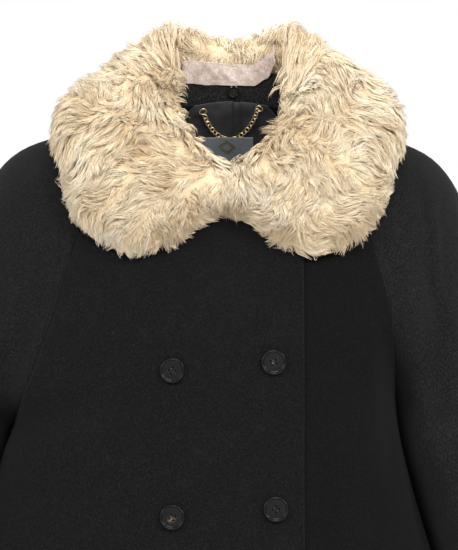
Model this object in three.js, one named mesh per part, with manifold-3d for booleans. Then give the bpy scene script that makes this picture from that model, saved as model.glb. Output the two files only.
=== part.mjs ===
// A wide double-breasted cape coat with raglan sleeves and a large fur collar, hollow and filled out as if
// worn. Millimetres, +Z up, the front faces -Y and +X is the wearer's left. The origin is inside the neck,
// just below the back neckline. Every panel of cloth is a wall of even thickness on the coat's outer surface.
// That surface is a stack of rings: one outline round body and sleeves down to the underarm, three tubes
// below it. Left and right in the names of sizes and columns are as seen from the front; in the names of
// pieces they are the wearer's.

import * as THREE from "three";
import Module from "manifold-3d";
import { mergeVertices } from "three/addons/utils/BufferGeometryUtils.js";

const wasm = await Module();
wasm.setup();

// ---------------------------------------------------------------- driving dimensions

const WOOL = 2.5; // thickness of the wool cloth
const SATIN = 1.2; // thickness of the lining, the label and the collar's stand
const SEAM_GAP = 0.3; // between pieces that are sewn together
const LAY_GAP = 0.5; // between a piece and the one that it lies on
const SIDE_Y = 4; // where body and sleeves are widest, seen from above
const SLEEVE_SQUARE = 2.8; // roundness of a sleeve's section: 2 is an ellipse, more is squarer
const SLOT = { top: 0.8, growth: 0.016, most: 5 }; // gap between body and sleeve below the underarm
// There the sleeve's inner side swells into a shallow hollow of the body's side, behind its middle.
const NEST = { depth: 9, y: 26, width: 36, reach: 34, from: -346, to: -430 };

// The fronts' free edges, and the run over which the upper front comes down onto the body.
const OVERLAP = { left: -84, right: 76, blend: 62 };
const UNDERARM_ROW = 9; // row of RINGS where the sleeves part from the body
const CUFF_ROW = 13;
const HEM_ROW = 15;
const CREASE_TOP = { left: -276, right: -182 }; // where the crease at the seam begins, per side of X

const BUTTON = { radius: 12.7, height: 4.6, rim: 2.6, dish: 1.3, hole: 1.15, holeOut: 2.9, round: 16 };
const BUTTON_COLUMNS = { left: -55.5, right: 45.5 };
const BUTTON_ROWS = [-267, -413, -559];
const BUTTON_TILT = 4; // the left column sits this much lower than its row, the right one higher
const BUTTON_STEP = 2; // each row of the right column stands this much further out
const NECK_BUTTON = { x: 6, up: 9, radius: 5.6, height: 2.4 };

const BAND = { lean: 3 }; // how far the neck band leans inwards at its top
const LABEL = { left: -29, right: 27, topRow: 1.32, bottomRow: 2.62, stand: 6.6 };
const LINING = { share: 0.72, bottomRow: 4.2 };
const CHAIN = { from: { x: -25, z: -13 }, to: { x: 32.5, z: -5.5 }, sag: 25, thick: 4.6, lift: 3.1 };
const CHAIN_RING = { radius: 3.4, wire: 0.65, right: { x: -28, z: -5.5 }, left: { x: 35, z: 2.5 } };

// Rings of the coat from the neckline to the hem. zFront, zLeft, zRight and zBack are a ring's heights.
// outLeft and outRight are the widest points of body and sleeves together, seamLeft and seamRight the raglan
// seams and, from the underarm down, the side seams. front and back are the body's depth, sleeveFront and
// sleeveBack the depth of the sleeve tubes. square is the roundness of the whole outline, bodySquare that of
// the body's own tube.
const RINGS = [
  { at: "neckline", mid: 3, zFront: -90, zLeft: -8, zRight: -9, zBack: 5,
    outLeft: -72, outRight: 78, seamLeft: -50, seamRight: 56, front: -68, back: 62,
    bodySquare: 3, square: 2.0, sleeveFront: -78, sleeveBack: 86 },
  { at: "collar root", mid: 1, zFront: -112, zLeft: -20, zRight: -23, zBack: -18,
    outLeft: -122, outRight: 126, seamLeft: -84, seamRight: 88, front: -84, back: 74,
    bodySquare: 3, square: 2.08, sleeveFront: -78, sleeveBack: 86 },
  { at: "shoulder slope", mid: -1, zFront: -134, zLeft: -32, zRight: -37, zBack: -48,
    outLeft: -172, outRight: 172, seamLeft: -114, seamRight: 114, front: -97, back: 87,
    bodySquare: 3, square: 2.16, sleeveFront: -78, sleeveBack: 86 },
  { at: "shoulder", mid: -3, zFront: -157, zLeft: -48, zRight: -56, zBack: -84,
    outLeft: -214, outRight: 210, seamLeft: -140, seamRight: 133, front: -109, back: 99,
    bodySquare: 3, square: 2.24, sleeveFront: -78, sleeveBack: 86 },
  { at: "shoulder turn", mid: -4, zFront: -180, zLeft: -76, zRight: -88, zBack: -116,
    outLeft: -241, outRight: 235, seamLeft: -155, seamRight: 146, front: -119, back: 108,
    bodySquare: 3.2, square: 2.32, sleeveFront: -78, sleeveBack: 86 },
  { at: "upper arm", mid: -4, zFront: -203, zLeft: -122, zRight: -130, zBack: -150,
    outLeft: -258, outRight: 248, seamLeft: -164, seamRight: 155, front: -127, back: 115,
    bodySquare: 3.6, square: 2.4, sleeveFront: -78, sleeveBack: 86 },
  { at: "chest", mid: -4, zFront: -226, zLeft: -178, zRight: -180, zBack: -190,
    outLeft: -273, outRight: 258, seamLeft: -174, seamRight: 163, front: -133, back: 121,
    bodySquare: 4, square: 2.48, sleeveFront: -80, sleeveBack: 88 },
  { at: "bust", mid: -4, zFront: -254, zLeft: -244, zRight: -244, zBack: -246,
    outLeft: -290, outRight: 268, seamLeft: -190, seamRight: 168, front: -138, back: 126,
    bodySquare: 4.2, square: 2.52, sleeveFront: -81, sleeveBack: 89 },
  { at: "above underarm", mid: -4, zFront: -300, zLeft: -300, zRight: -300, zBack: -300,
    outLeft: -308, outRight: 280, seamLeft: -208, seamRight: 171, front: -142, back: 131,
    bodySquare: 4.3, square: 2.52, sleeveFront: -92, sleeveBack: 86 },
  { at: "underarm", mid: -5, zFront: -346, zLeft: -346, zRight: -346, zBack: -346,
    outLeft: -325, outRight: 293, seamLeft: -226, seamRight: 177, front: -146, back: 135,
    bodySquare: 4.2, square: 2.5, sleeveFront: -106, sleeveBack: 77 },
  { at: "waist", mid: -6, zFront: -400, zLeft: -400, zRight: -400, zBack: -400,
    outLeft: -341, outRight: 308, seamLeft: -243, seamRight: 191, front: -151, back: 141,
    bodySquare: 3.5, square: 2.46, sleeveFront: -106, sleeveBack: 74 },
  { at: "high hip", mid: -7, zFront: -470, zLeft: -470, zRight: -470, zBack: -470,
    outLeft: -357, outRight: 328, seamLeft: -264, seamRight: 213, front: -158, back: 149,
    bodySquare: 2.9, square: 2.42, sleeveFront: -102, sleeveBack: 70 },
  { at: "hip", mid: -8, zFront: -536, zLeft: -536, zRight: -536, zBack: -536,
    outLeft: -369, outRight: 345, seamLeft: -282, seamRight: 236, front: -165, back: 158,
    bodySquare: 2.6, square: 2.38, sleeveFront: -97, sleeveBack: 66 },
  { at: "cuff", mid: -8, zFront: -600, zLeft: -600, zRight: -600, zBack: -600,
    outLeft: -378, outRight: 357, seamLeft: -295, seamRight: 256, front: -172, back: 167,
    bodySquare: 2.45, square: 2.36, sleeveFront: -92, sleeveBack: 62 },
  { at: "thigh", mid: -8, zFront: -680, zLeft: -680, zRight: -680, zBack: -680,
    outLeft: -386, outRight: 370, seamLeft: -308, seamRight: 279, front: -181, back: 178,
    bodySquare: 2.36, square: 2.34, sleeveFront: -62, sleeveBack: 66 },
  { at: "hem", mid: -8, zFront: -765, zLeft: -765, zRight: -765, zBack: -765,
    outLeft: -392, outRight: 382, seamLeft: -318, seamRight: 300, front: -190, back: 189,
    bodySquare: 2.32, square: 2.32, sleeveFront: -60, sleeveBack: 64 },
];

// Large soft folds. Each runs from one point to another, seen from the front or back, and is a trough where
// its depth is positive and a ridge where it is negative.
const FOLDS = [
  { face: -1, x1: -192, z1: -170, x2: -240, z2: -330, width: 13, depth: 8 },
  { face: -1, x1: -212, z1: -180, x2: -264, z2: -345, width: 15, depth: -5 },
  { face: -1, x1: 158, z1: -165, x2: 165, z2: -345, width: 12, depth: 9 },
  { face: -1, x1: 178, z1: -125, x2: 187, z2: -350, width: 13, depth: -6 },
  { face: -1, x1: 182, z1: -240, x2: 272, z2: -600, width: 24, depth: -12 },
  { face: -1, x1: -222, z1: -250, x2: -315, z2: -560, width: 24, depth: -11 },
  { face: -1, x1: 212, z1: -120, x2: 214, z2: -300, width: 9, depth: 4 },
  { face: -1, x1: 236, z1: -200, x2: 246, z2: -420, width: 16, depth: -4 },
  { face: -1, x1: -150, z1: -430, x2: -192, z2: -780, width: 26, depth: 9 },
  { face: -1, x1: -205, z1: -470, x2: -252, z2: -780, width: 24, depth: -8 },
  { face: -1, x1: 122, z1: -440, x2: 160, z2: -780, width: 25, depth: 8 },
  { face: -1, x1: 170, z1: -480, x2: 222, z2: -780, width: 22, depth: -8 },
  { face: 1, x1: -10, z1: -360, x2: -14, z2: -780, width: 30, depth: 10 },
  { face: 1, x1: -70, z1: -400, x2: -92, z2: -780, width: 30, depth: -9 },
  { face: 1, x1: 66, z1: -380, x2: 82, z2: -780, width: 28, depth: -8 },
  { face: 1, x1: -132, z1: -330, x2: -170, z2: -780, width: 26, depth: 11 },
  { face: 1, x1: 118, z1: -350, x2: 158, z2: -780, width: 27, depth: 10 },
  { face: 1, x1: 142, z1: -190, x2: 148, z2: -335, width: 15, depth: 6 },
  { face: 1, x1: -148, z1: -200, x2: -178, z2: -335, width: 15, depth: 6 },
];

// The neck band's height above the neckline by angle round the neck: 0 is the centre front, 180 the back.
const BAND_HEIGHT = [
  { angle: 0, left: 8, right: 8 },
  { angle: 60, left: 8, right: 9 },
  { angle: 95, left: 9, right: 14 },
  { angle: 120, left: 20, right: 36 },
  { angle: 145, left: 28, right: 34 },
  { angle: 180, left: 30, right: 30 },
];

// The fur collar by angle round the neck. reach is where it ends on the coat, in rows of RINGS; edge and body
// are its thickness near that edge and half way; throatUp and throatIn place its inner face, crestUp and
// crestOut its highest line, all measured from the neckline.
const FUR = [
  { angle: 0, reach: 1.35, edge: 27, body: 34, throatUp: 24, throatIn: 1, crestUp: 26, crestOut: 20 },
  { angle: 6, reach: 1.7, edge: 29, body: 37, throatUp: 27, throatIn: 1, crestUp: 29, crestOut: 22 },
  { angle: 12, reach: 2.75, edge: 31, body: 40, throatUp: 31, throatIn: 2, crestUp: 32, crestOut: 24 },
  { angle: 20, reach: 3.8, edge: 34, body: 44, throatUp: 36, throatIn: 2, crestUp: 36, crestOut: 26 },
  { angle: 36, reach: 3.6, edge: 35, body: 48, throatUp: 38, throatIn: 5, crestUp: 40, crestOut: 26 },
  { angle: 60, reach: 2.55, edge: 36, body: 52, throatUp: 27, throatIn: 15, crestUp: 54, crestOut: 20 },
  { angle: 84, reach: 2.2, edge: 35, body: 56, throatUp: 28, throatIn: 26, crestUp: 67, crestOut: 14 },
  { angle: 108, reach: 2.15, edge: 35, body: 56, throatUp: 38, throatIn: 22, crestUp: 81, crestOut: 10 },
  { angle: 130, reach: 2.15, edge: 33, body: 53, throatUp: 54, throatIn: 3, crestUp: 88, crestOut: 10 },
  { angle: 150, reach: 2.15, edge: 32, body: 50, throatUp: 56, throatIn: 2, crestUp: 80, crestOut: 12 },
  { angle: 180, reach: 2.3, edge: 30, body: 46, throatUp: 50, throatIn: 2, crestUp: 64, crestOut: 16 },
];
const FUR_SEAT = 1.6; // clearance between the fur collar's underside and the coat
const FUR_PARTING = 0.8; // half the gap where its two ends meet at the front

// The satin stand inside the back of the neck, by angle from the centre back, plus towards the wearer's left:
// heights above the neckline and how far it stands inside the neck band.
const STAND = [
  { angle: -52, bottom: 26, top: 49, inside: 3 },
  { angle: -40, bottom: 23, top: 47, inside: 0.5 },
  { angle: -20, bottom: 18, top: 42, inside: 0.5 },
  { angle: 0, bottom: 16, top: 38, inside: 0.5 },
  { angle: 20, bottom: 17, top: 39, inside: 0.5 },
  { angle: 34, bottom: 27, top: 49, inside: 1.5 },
  { angle: 50, bottom: 46, top: 66, inside: 6 },
];

const COLOURS = {
  wool: 0x1b1b1c, fur: 0xdcc7a4, satin: 0xc9b3a4, lining: 0x26272a, label: 0x555a5e, gold: 0xc9a158,
  horn: 0x1d1512,
};

// ---------------------------------------------------------------- small helpers

const mix = (a, b, t) => a + (b - a) * t;
const clamp = (t, low = 0, high = 1) => Math.min(high, Math.max(low, t));
const smooth = (t) => clamp(t) ** 2 * (3 - 2 * clamp(t));
const power = (value, exponent) => Math.sign(value) * Math.abs(value) ** exponent;
const mixPoints = (a, b, t) => a.clone().lerp(b, t);
const steps = (from, to, count) => Array.from({ length: count + 1 }, (_, i) => mix(from, to, i / count));

// A value between rows of a table, on a smooth curve through the rows.
function curve(rows, column, place) {
  const i = clamp(Math.floor(place), 0, rows.length - 2);
  const t = place - i;
  const row = (k) => rows[clamp(k, 0, rows.length - 1)][column];
  const [a, b, c, d] = [i ? row(i - 1) : 2 * row(0) - row(1), row(i), row(i + 1), row(i + 2)];
  return b + 0.5 * t * (c - a + t * (2 * a - 5 * b + 4 * c - d + t * (3 * (b - c) + d - a)));
}

// The same for a table whose rows stand at angles.
function curveAtAngle(rows, column, angle) {
  let i = 0;
  while (i < rows.length - 2 && angle > rows[i + 1].angle) i++;
  const t = clamp((angle - rows[i].angle) / (rows[i + 1].angle - rows[i].angle));
  return mix(rows[i][column], rows[i + 1][column], smooth(t) * 0.5 + t * 0.5);
}

const solve = (from, to, target, value) => {
  let [low, high] = [from, to];
  const rising = value(high) > value(low);
  for (let k = 0; k < 40; k++) {
    const middle = (low + high) / 2;
    if (value(middle) > target === rising) high = middle;
    else low = middle;
  }
  return (low + high) / 2;
};

// ---------------------------------------------------------------- the coat's outer surface

// All columns of RINGS at a place between rows, as seen from one side: -1 is the wearer's right, 1 the left.
function ringAt(row, side) {
  const read = (column) => curve(RINGS, column, row);
  const name = side < 0 ? "Left" : "Right";
  return {
    mid: read("mid"), zFront: read("zFront"), zSide: read("z" + name), zBack: read("zBack"),
    out: read("out" + name), seam: read("seam" + name), front: read("front"), back: read("back"),
    square: read("square"), bodySquare: read("bodySquare"),
    sleeveFront: read("sleeveFront"), sleeveBack: read("sleeveBack"),
  };
}

// The outline round body and sleeves. turn runs from 0 at the centre front over 90 at the side to 180 behind.
function outline(ring, turn) {
  const [s, c] = [Math.sin(turn * THREE.MathUtils.DEG2RAD), Math.cos(turn * THREE.MathUtils.DEG2RAD)];
  const depth = c > 0 ? ring.front - SIDE_Y : ring.back - SIDE_Y;
  const height = c > 0 ? ring.zFront : ring.zBack;
  return new THREE.Vector3(
    ring.mid + (ring.out - ring.mid) * Math.abs(s) ** (2 / ring.square),
    SIDE_Y + depth * Math.abs(c) ** (2 / ring.square),
    mix(ring.zSide, height, c * c));
}

// How far the body and a sleeve are parted: 0 is one outline, 1 is separate tubes.
function parting(row, side) {
  if (row >= UNDERARM_ROW) return 1;
  const z = curve(RINGS, side < 0 ? "zLeft" : "zRight", row);
  const top = side < 0 ? CREASE_TOP.left : CREASE_TOP.right;
  const share = clamp((top - z) / (top - RINGS[UNDERARM_ROW].zLeft));
  return share ** 3 * (4 - 3 * share);
}

// Where the raglan seam crosses the outline, as a turn. face is -1 in front and 1 behind.
function seamTurn(ring, face) {
  const ends = face < 0 ? [0, 90] : [180, 90];
  return solve(ends[0], ends[1], Math.abs(ring.seam - ring.mid), (turn) =>
    Math.abs(outline(ring, turn).x - ring.mid));
}

// Soft folds move the surface in or out along Y, less and less towards the sides.
function folded(point) {
  const face = point.y < SIDE_Y ? -1 : 1;
  const facing = smooth(Math.abs(point.y - SIDE_Y) / 55);
  for (const fold of FOLDS.filter((row) => row.face === face)) {
    const [dx, dz] = [fold.x2 - fold.x1, fold.z2 - fold.z1];
    const along = ((point.x - fold.x1) * dx + (point.z - fold.z1) * dz) / (dx * dx + dz * dz);
    const away = Math.hypot(point.x - fold.x1 - along * dx, point.z - fold.z1 - along * dz);
    const strength = smooth(along * 1.6) * smooth((1.25 - along) * 4);
    point.y -= face * facing * strength * fold.depth * Math.exp(-((away / fold.width) ** 2));
  }
  return point;
}

function nested(point, side, seam) {
  const share = smooth((NEST.from - point.z) / (NEST.from - NEST.to));
  const near = Math.exp(-(((point.y - NEST.y) / NEST.width) ** 2) - ((point.x - seam) / NEST.reach) ** 2);
  point.x -= side * share * NEST.depth * near;
  return point;
}

// A point of the body's surface; across runs from 0 at the centre to 1 at the seam.
function bodyPoint(row, side, face, across) {
  const ring = ringAt(row, side);
  const centre = face < 0 ? 0 : 180;
  const whole = outline(ring, mix(centre, seamTurn(ring, face), across));
  const angle = (across * Math.PI) / 2;
  const depth = face < 0 ? ring.front - SIDE_Y : ring.back - SIDE_Y;
  const tube = new THREE.Vector3(
    ring.mid + (ring.seam - ring.mid) * Math.sin(angle) ** (2 / ring.bodySquare),
    SIDE_Y + depth * Math.abs(Math.cos(angle)) ** (2 / ring.bodySquare),
    whole.z);
  return nested(folded(mixPoints(whole, tube, parting(row, side))), side, ring.seam);
}

// A point of a sleeve's surface; round runs from 0 at the front seam over the outside to 1 at the back seam.
function sleevePoint(row, side, round) {
  const ring = ringAt(row, side);
  const whole = outline(ring, mix(seamTurn(ring, -1), seamTurn(ring, 1), round));
  const slot = clamp(SLOT.top + SLOT.growth * (RINGS[UNDERARM_ROW].zLeft - ring.zSide), SLOT.top, SLOT.most);
  const inner = ring.seam + side * slot;
  const angle = round * 2 * Math.PI;
  const depth = round < 0.5 ? ring.sleeveFront - SIDE_Y : ring.sleeveBack - SIDE_Y;
  const tube = new THREE.Vector3(
    (inner + ring.out) / 2 - ((ring.out - inner) / 2) * power(Math.cos(angle), 2 / SLEEVE_SQUARE),
    SIDE_Y + depth * Math.abs(Math.sin(angle)) ** (2 / SLEEVE_SQUARE),
    whole.z);
  return nested(folded(mixPoints(whole, tube, parting(row, side))), side, ring.seam);
}

// Points just past a seam, on the piece sewn there, or nothing where the cloth turns sharply at the seam.
function pastBodySeam(row, side, face) {
  const parted = parting(row, side);
  if (parted === 1) return bodyPoint(row, side, -face, 0.94);
  return parted < 0.01 ? sleevePoint(row, side, face < 0 ? 0.04 : 0.96) : undefined;
}

function pastSleeveSeams(row, side) {
  const parted = parting(row, side);
  if (parted === 1) return [sleevePoint(row, side, 0.96), sleevePoint(row, side, 0.04)];
  return parted < 0.01 ? [bodyPoint(row, side, -1, 0.95), bodyPoint(row, side, 1, 0.95)] : [];
}

// The front's surface at a given x. across beyond the centre line belongs to the other side.
function acrossAtX(row, x) {
  const side = x < ringAt(row, 1).mid ? -1 : 1;
  const across = solve(0, 1, Math.abs(x - ringAt(row, side).mid), (value) =>
    Math.abs(bodyPoint(row, side, -1, value).x - ringAt(row, side).mid));
  return { side, across };
}

function frontPointAtX(row, x) {
  const { side, across } = acrossAtX(row, x);
  return bodyPoint(row, side, -1, across);
}

// ---------------------------------------------------------------- solids from grids of points

function trimmed(line) {
  const [first, last] = [line[0].clone(), line.at(-1).clone()];
  const inset = (end, next) => end.add(next.clone().sub(end).setLength(SEAM_GAP / 2 + 0.05));
  inset(first, line[1]);
  inset(last, line.at(-2));
  return [first, ...line.slice(1, -1), last];
}

// The direction of a row of points at one of them. beyond is a point that carries the surface on past the
// end, on the piece sewn there; without it the row's own curve gives the direction.
function slope(points, k, beyond) {
  const last = points.length - 1;
  if (k > 0 && k < last) return points[k + 1].clone().sub(points[k - 1]);
  const [a, b, c] = (k === 0 ? points : points.slice(-3).reverse()).slice(0, 3);
  const leaving = beyond
    ? b.clone().sub(a).normalize().add(a.clone().sub(beyond).normalize())
    : b.clone().multiplyScalar(4).addScaledVector(a, -3).sub(c);
  return k === 0 ? leaving : leaving.negate();
}

// Normals of a grid. outward is 1 or -1, whichever makes them point out of the coat.
function gridNormals(grid, outward, beyond = []) {
  const columns = grid[0].map((_, j) => grid.map((line) => line[j]));
  return grid.map((line, i) => line.map((_, j) => {
    const along = slope(line, j, beyond[i]?.[j === 0 ? 0 : 1]);
    return along.cross(slope(columns[j], i)).normalize().multiplyScalar(outward);
  }));
}

const moved = (grid, normals, distance) => grid.map((line, i) => line.map((point, j) =>
  point.clone().addScaledVector(normals[i][j], distance)));

// A closed shell between two grids of the same size.
function shell(outer, inner) {
  const [rows, columns] = [outer.length, outer[0].length];
  const points = [...outer.flat(), ...inner.flat()];
  const at = (layer, i, j) => layer * rows * columns + i * columns + j;
  const faces = [];
  const quad = (a, b, c, d) => faces.push(a, b, c, a, c, d);
  for (let i = 0; i < rows - 1; i++) {
    for (let j = 0; j < columns - 1; j++) {
      quad(at(0, i, j), at(0, i, j + 1), at(0, i + 1, j + 1), at(0, i + 1, j));
      quad(at(1, i, j), at(1, i + 1, j), at(1, i + 1, j + 1), at(1, i, j + 1));
    }
  }
  for (let j = 0; j < columns - 1; j++) {
    quad(at(0, 0, j), at(1, 0, j), at(1, 0, j + 1), at(0, 0, j + 1));
    quad(at(0, rows - 1, j), at(0, rows - 1, j + 1), at(1, rows - 1, j + 1), at(1, rows - 1, j));
  }
  for (let i = 0; i < rows - 1; i++) {
    quad(at(0, i, 0), at(0, i + 1, 0), at(1, i + 1, 0), at(1, i, 0));
    quad(at(0, i, columns - 1), at(1, i, columns - 1), at(1, i + 1, columns - 1), at(0, i + 1, columns - 1));
  }
  return geometryOf(points, faces);
}

// A closed body through sections, with flat ends. Each section runs out along its underside, whose last point
// is at split, and back over its top, so an end is closed by zipping the two together.
function loft(sections, split) {
  const size = sections[0].length;
  const faces = [];
  for (let i = 0; i < sections.length - 1; i++) {
    for (let j = 0; j < size; j++) {
      const [a, b] = [i * size + j, i * size + ((j + 1) % size)];
      faces.push(a, b, b + size, a, b + size, a + size);
    }
  }
  for (const [start, reversed] of [[0, true], [(sections.length - 1) * size, false]]) {
    let [low, high] = [0, size - 1];
    while (high - low > 1) {
      const lowIsBehind = low < split && low / split <= (size - 1 - high) / (size - 1 - split);
      const next = lowIsBehind ? low + 1 : high - 1;
      faces.push(...(reversed ? [low, high, next] : [low, next, high]).map((k) => start + k));
      if (lowIsBehind) low = next;
      else high = next;
    }
  }
  return geometryOf(sections.flat(), faces);
}

// Six times the volume that the faces enclose, negative where they point inwards.
function enclosed(points, faces) {
  let sum = 0;
  for (let k = 0; k < faces.length; k += 3) {
    const [a, b, c] = [points[faces[k]], points[faces[k + 1]], points[faces[k + 2]]];
    sum += a.dot(b.clone().cross(c));
  }
  return sum;
}

function geometryOf(points, faces) {
  if (enclosed(points, faces) < 0) faces.reverse();
  const geometry = new THREE.BufferGeometry().setFromPoints(points);
  geometry.setIndex(faces);
  return geometry;
}

function solidOf(geometry) {
  geometry.deleteAttribute("normal");
  geometry.deleteAttribute("uv");
  const merged = mergeVertices(geometry, 1e-4);
  return new wasm.Manifold(new wasm.Mesh({
    numProp: 3,
    vertProperties: new Float32Array(merged.attributes.position.array),
    triVerts: new Uint32Array(merged.index.array),
  }));
}

function geometryOfSolid(solid) {
  const mesh = solid.getMesh();
  const geometry = new THREE.BufferGeometry();
  geometry.setAttribute("position", new THREE.BufferAttribute(new Float32Array(mesh.vertProperties), 3));
  geometry.setIndex(new THREE.BufferAttribute(new Uint32Array(mesh.triVerts), 1));
  return geometry;
}

// ---------------------------------------------------------------- the scene graph

const coat = new THREE.Group();

function add(name, geometry, colour, { roughness = 0.9, metalness = 0 } = {}) {
  const material = new THREE.MeshStandardMaterial({ color: colour, roughness, metalness });
  const mesh = new THREE.Mesh(geometry, material);
  mesh.name = name;
  coat.add(mesh);
  return mesh;
}

// ---------------------------------------------------------------- fronts

const BODY_ROWS = [0, 0.6, 1.2, 2, 2.8, 3.7, 4.6, 5.5, 6.4, 7.2, 8, 8.4, 8.7, UNDERARM_ROW,
  9.7, 10.6, 11.5, 12.3, CUFF_ROW, 14, HEM_ROW];
const OVERLAP_COLUMNS = 8;

// The overlap's corners are cut away towards the neck, so its edges start at the centre front.
function overlapEdge(row, edge) {
  const start = Math.sign(edge) * 12 + 3;
  return mix(start, edge, smooth(row / 2.2));
}

// How far the upper front lies above the lower one: the whole lay in the overlap, nothing at the raglan seam.
function lay(x, row) {
  const edge = overlapEdge(row, OVERLAP.left);
  const start = Math.max(edge - OVERLAP.blend, ringAt(row, -1).seam + 4);
  return (WOOL + LAY_GAP) * smooth((x - start) / (edge - start));
}

function overlapLine(row) {
  const [from, to] = [overlapEdge(row, OVERLAP.left), overlapEdge(row, OVERLAP.right)];
  return steps(from, to, OVERLAP_COLUMNS).map((x) => frontPointAtX(row, x));
}

function sideLine(row, side, edge, count) {
  const { across } = acrossAtX(row, overlapEdge(row, edge));
  return steps(1, across, count).map((value) => bodyPoint(row, side, -1, value));
}

const lowerFrontGrid = BODY_ROWS.map((row) =>
  trimmed([...overlapLine(row), ...sideLine(row, 1, OVERLAP.right, 7).reverse().slice(1)]));
const seatOfUpperFront = BODY_ROWS.map((row) =>
  trimmed([...sideLine(row, -1, OVERLAP.left, 7).slice(0, -1), ...overlapLine(row)]));

// Normals that point out of the coat.
function outwardNormals(grid, beyond) {
  const normals = gridNormals(grid, 1, beyond);
  const outward = Math.sign(normals[3][2].dot(grid[3][2].clone().setZ(0)));
  return normals.map((line) => line.map((normal) => normal.multiplyScalar(outward)));
}

const rightSeam = BODY_ROWS.map((row) => [pastBodySeam(row, -1, -1), undefined]);
const leftSeam = BODY_ROWS.map((row) => [undefined, pastBodySeam(row, 1, -1)]);
const bothSeamsBehind = BODY_ROWS.map((row) => [pastBodySeam(row, -1, 1), pastBodySeam(row, 1, 1)]);

const seatNormals = outwardNormals(seatOfUpperFront, rightSeam);
const upperFrontGrid = seatOfUpperFront.map((line, i) => line.map((point, j) =>
  point.clone().addScaledVector(seatNormals[i][j], lay(point.x, BODY_ROWS[i]))));

function addPanel(name, grid, beyond) {
  const normals = outwardNormals(grid, beyond);
  add(name, shell(grid, moved(grid, normals, -WOOL)), COLOURS.wool);
  return { grid, normals };
}

addPanel("front_right", upperFrontGrid, rightSeam);
addPanel("front_left", lowerFrontGrid, leftSeam);

// ---------------------------------------------------------------- back and sleeves

const BACK_COLUMNS = 10; // on each side of the centre back
const backLine = (row) => [
  ...steps(1, 0, BACK_COLUMNS).map((value) => bodyPoint(row, -1, 1, value)),
  ...steps(0, 1, BACK_COLUMNS).slice(1).map((value) => bodyPoint(row, 1, 1, value)),
];
const backPanel = addPanel("back", BODY_ROWS.map((row) => trimmed(backLine(row))), bothSeamsBehind);

const SLEEVE_ROWS = BODY_ROWS.filter((row) => row <= CUFF_ROW);
const SLEEVE_COLUMNS = 16;
for (const [name, side] of [["sleeve_right", -1], ["sleeve_left", 1]]) {
  const grid = SLEEVE_ROWS.map((row) =>
    trimmed(steps(0, 1, SLEEVE_COLUMNS).map((round) => sleevePoint(row, side, round))));
  const beyond = SLEEVE_ROWS.map((row) => pastSleeveSeams(row, side));
  add(name, shell(grid, moved(grid, gridNormals(grid, -side, beyond), -WOOL)), COLOURS.wool);
}

// ---------------------------------------------------------------- neck: band, lining, stand, label, chain

// The neckline as a ring round the neck. turn runs from 0 in front to 180 behind on the side given.
const neckPoint = (side, turn) => outline(ringAt(0, side), turn);
const outwardAt = (point) => new THREE.Vector3(point.x - RINGS[0].mid, point.y, 0).normalize();
const bandHeight = (side, turn) => curveAtAngle(BAND_HEIGHT, side < 0 ? "left" : "right", turn);

// A point of the neck band's outer face at a height above the neckline.
function bandPoint(side, turn, up) {
  const foot = neckPoint(side, turn);
  const leaning = (BAND.lean * up) / 30;
  return foot.addScaledVector(outwardAt(foot), -leaning - 0.1).add(new THREE.Vector3(0, 0, up + SEAM_GAP));
}

const NECK_STATIONS = [
  ...steps(1.2, 180, 18).map((turn) => ({ side: -1, turn })),
  ...steps(180, 1.2, 18).slice(1).map((turn) => ({ side: 1, turn })),
];
const bandGrid = [0, 0.33, 0.66, 1].map((share) =>
  NECK_STATIONS.map(({ side, turn }) => bandPoint(side, turn, share * bandHeight(side, turn))));
const bandInner = bandGrid.map((line) => line.map((point) =>
  point.clone().addScaledVector(outwardAt(point), -WOOL)));
add("neck_band", shell(bandGrid, bandInner), COLOURS.wool);

// Lining, inside the upper back only.
const liningRows = BODY_ROWS.map((row, i) => i).filter((i) => BODY_ROWS[i] <= LINING.bottomRow);
const liningColumns = Math.round(BACK_COLUMNS * LINING.share);
const behind = (distance) => liningRows.map((i) => {
  const [from, to] = [BACK_COLUMNS - liningColumns, BACK_COLUMNS + liningColumns + 1];
  return backPanel.grid[i].slice(from, to).map((point, j) =>
    point.clone().addScaledVector(backPanel.normals[i][from + j], -distance));
});
add("neck_lining", shell(behind(WOOL + LAY_GAP), behind(WOOL + LAY_GAP + SATIN)),
  COLOURS.lining, { roughness: 0.5 });

// The face of the lining at a given x and row of the back.
function liningPoint(row, x, distance) {
  const side = x < ringAt(row, 1).mid ? -1 : 1;
  const at = (r, value) => bodyPoint(r, side, 1, value);
  const mid = ringAt(row, side).mid;
  const across = solve(0, 1, Math.abs(x - mid), (value) => Math.abs(at(row, value).x - mid));
  const down = at(row + 0.05, across).sub(at(row - 0.05, across));
  const sideways = at(row, Math.min(across + 0.05, 1)).sub(at(row, across)).multiplyScalar(side);
  const normal = down.cross(sideways).normalize();
  if (normal.y < 0) normal.negate();
  return at(row, across).addScaledVector(normal, -(WOOL + LAY_GAP + SATIN + distance));
}

// The label is sewn down at its lower edge and stands away at the top, where the chain passes behind it.
const labelFace = (distance) => steps(LABEL.topRow, LABEL.bottomRow, 5).map((row, i) =>
  steps(LABEL.left, LABEL.right, 6).map((x) =>
    liningPoint(row, x, LAY_GAP + LABEL.stand * (1 - i / 5) ** 0.7 + distance)));
add("label", shell(labelFace(0), labelFace(SATIN)), COLOURS.label, { roughness: 0.5 });

function chainPoint(share) {
  const x = mix(CHAIN.from.x, CHAIN.to.x, share);
  const z = mix(CHAIN.from.z, CHAIN.to.z, share) - CHAIN.sag * (4 * share * (1 - share)) ** 0.85;
  const row = solve(0, 3, z, (value) => liningPoint(value, x, CHAIN.lift).z);
  return liningPoint(row, x, CHAIN.lift);
}

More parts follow.
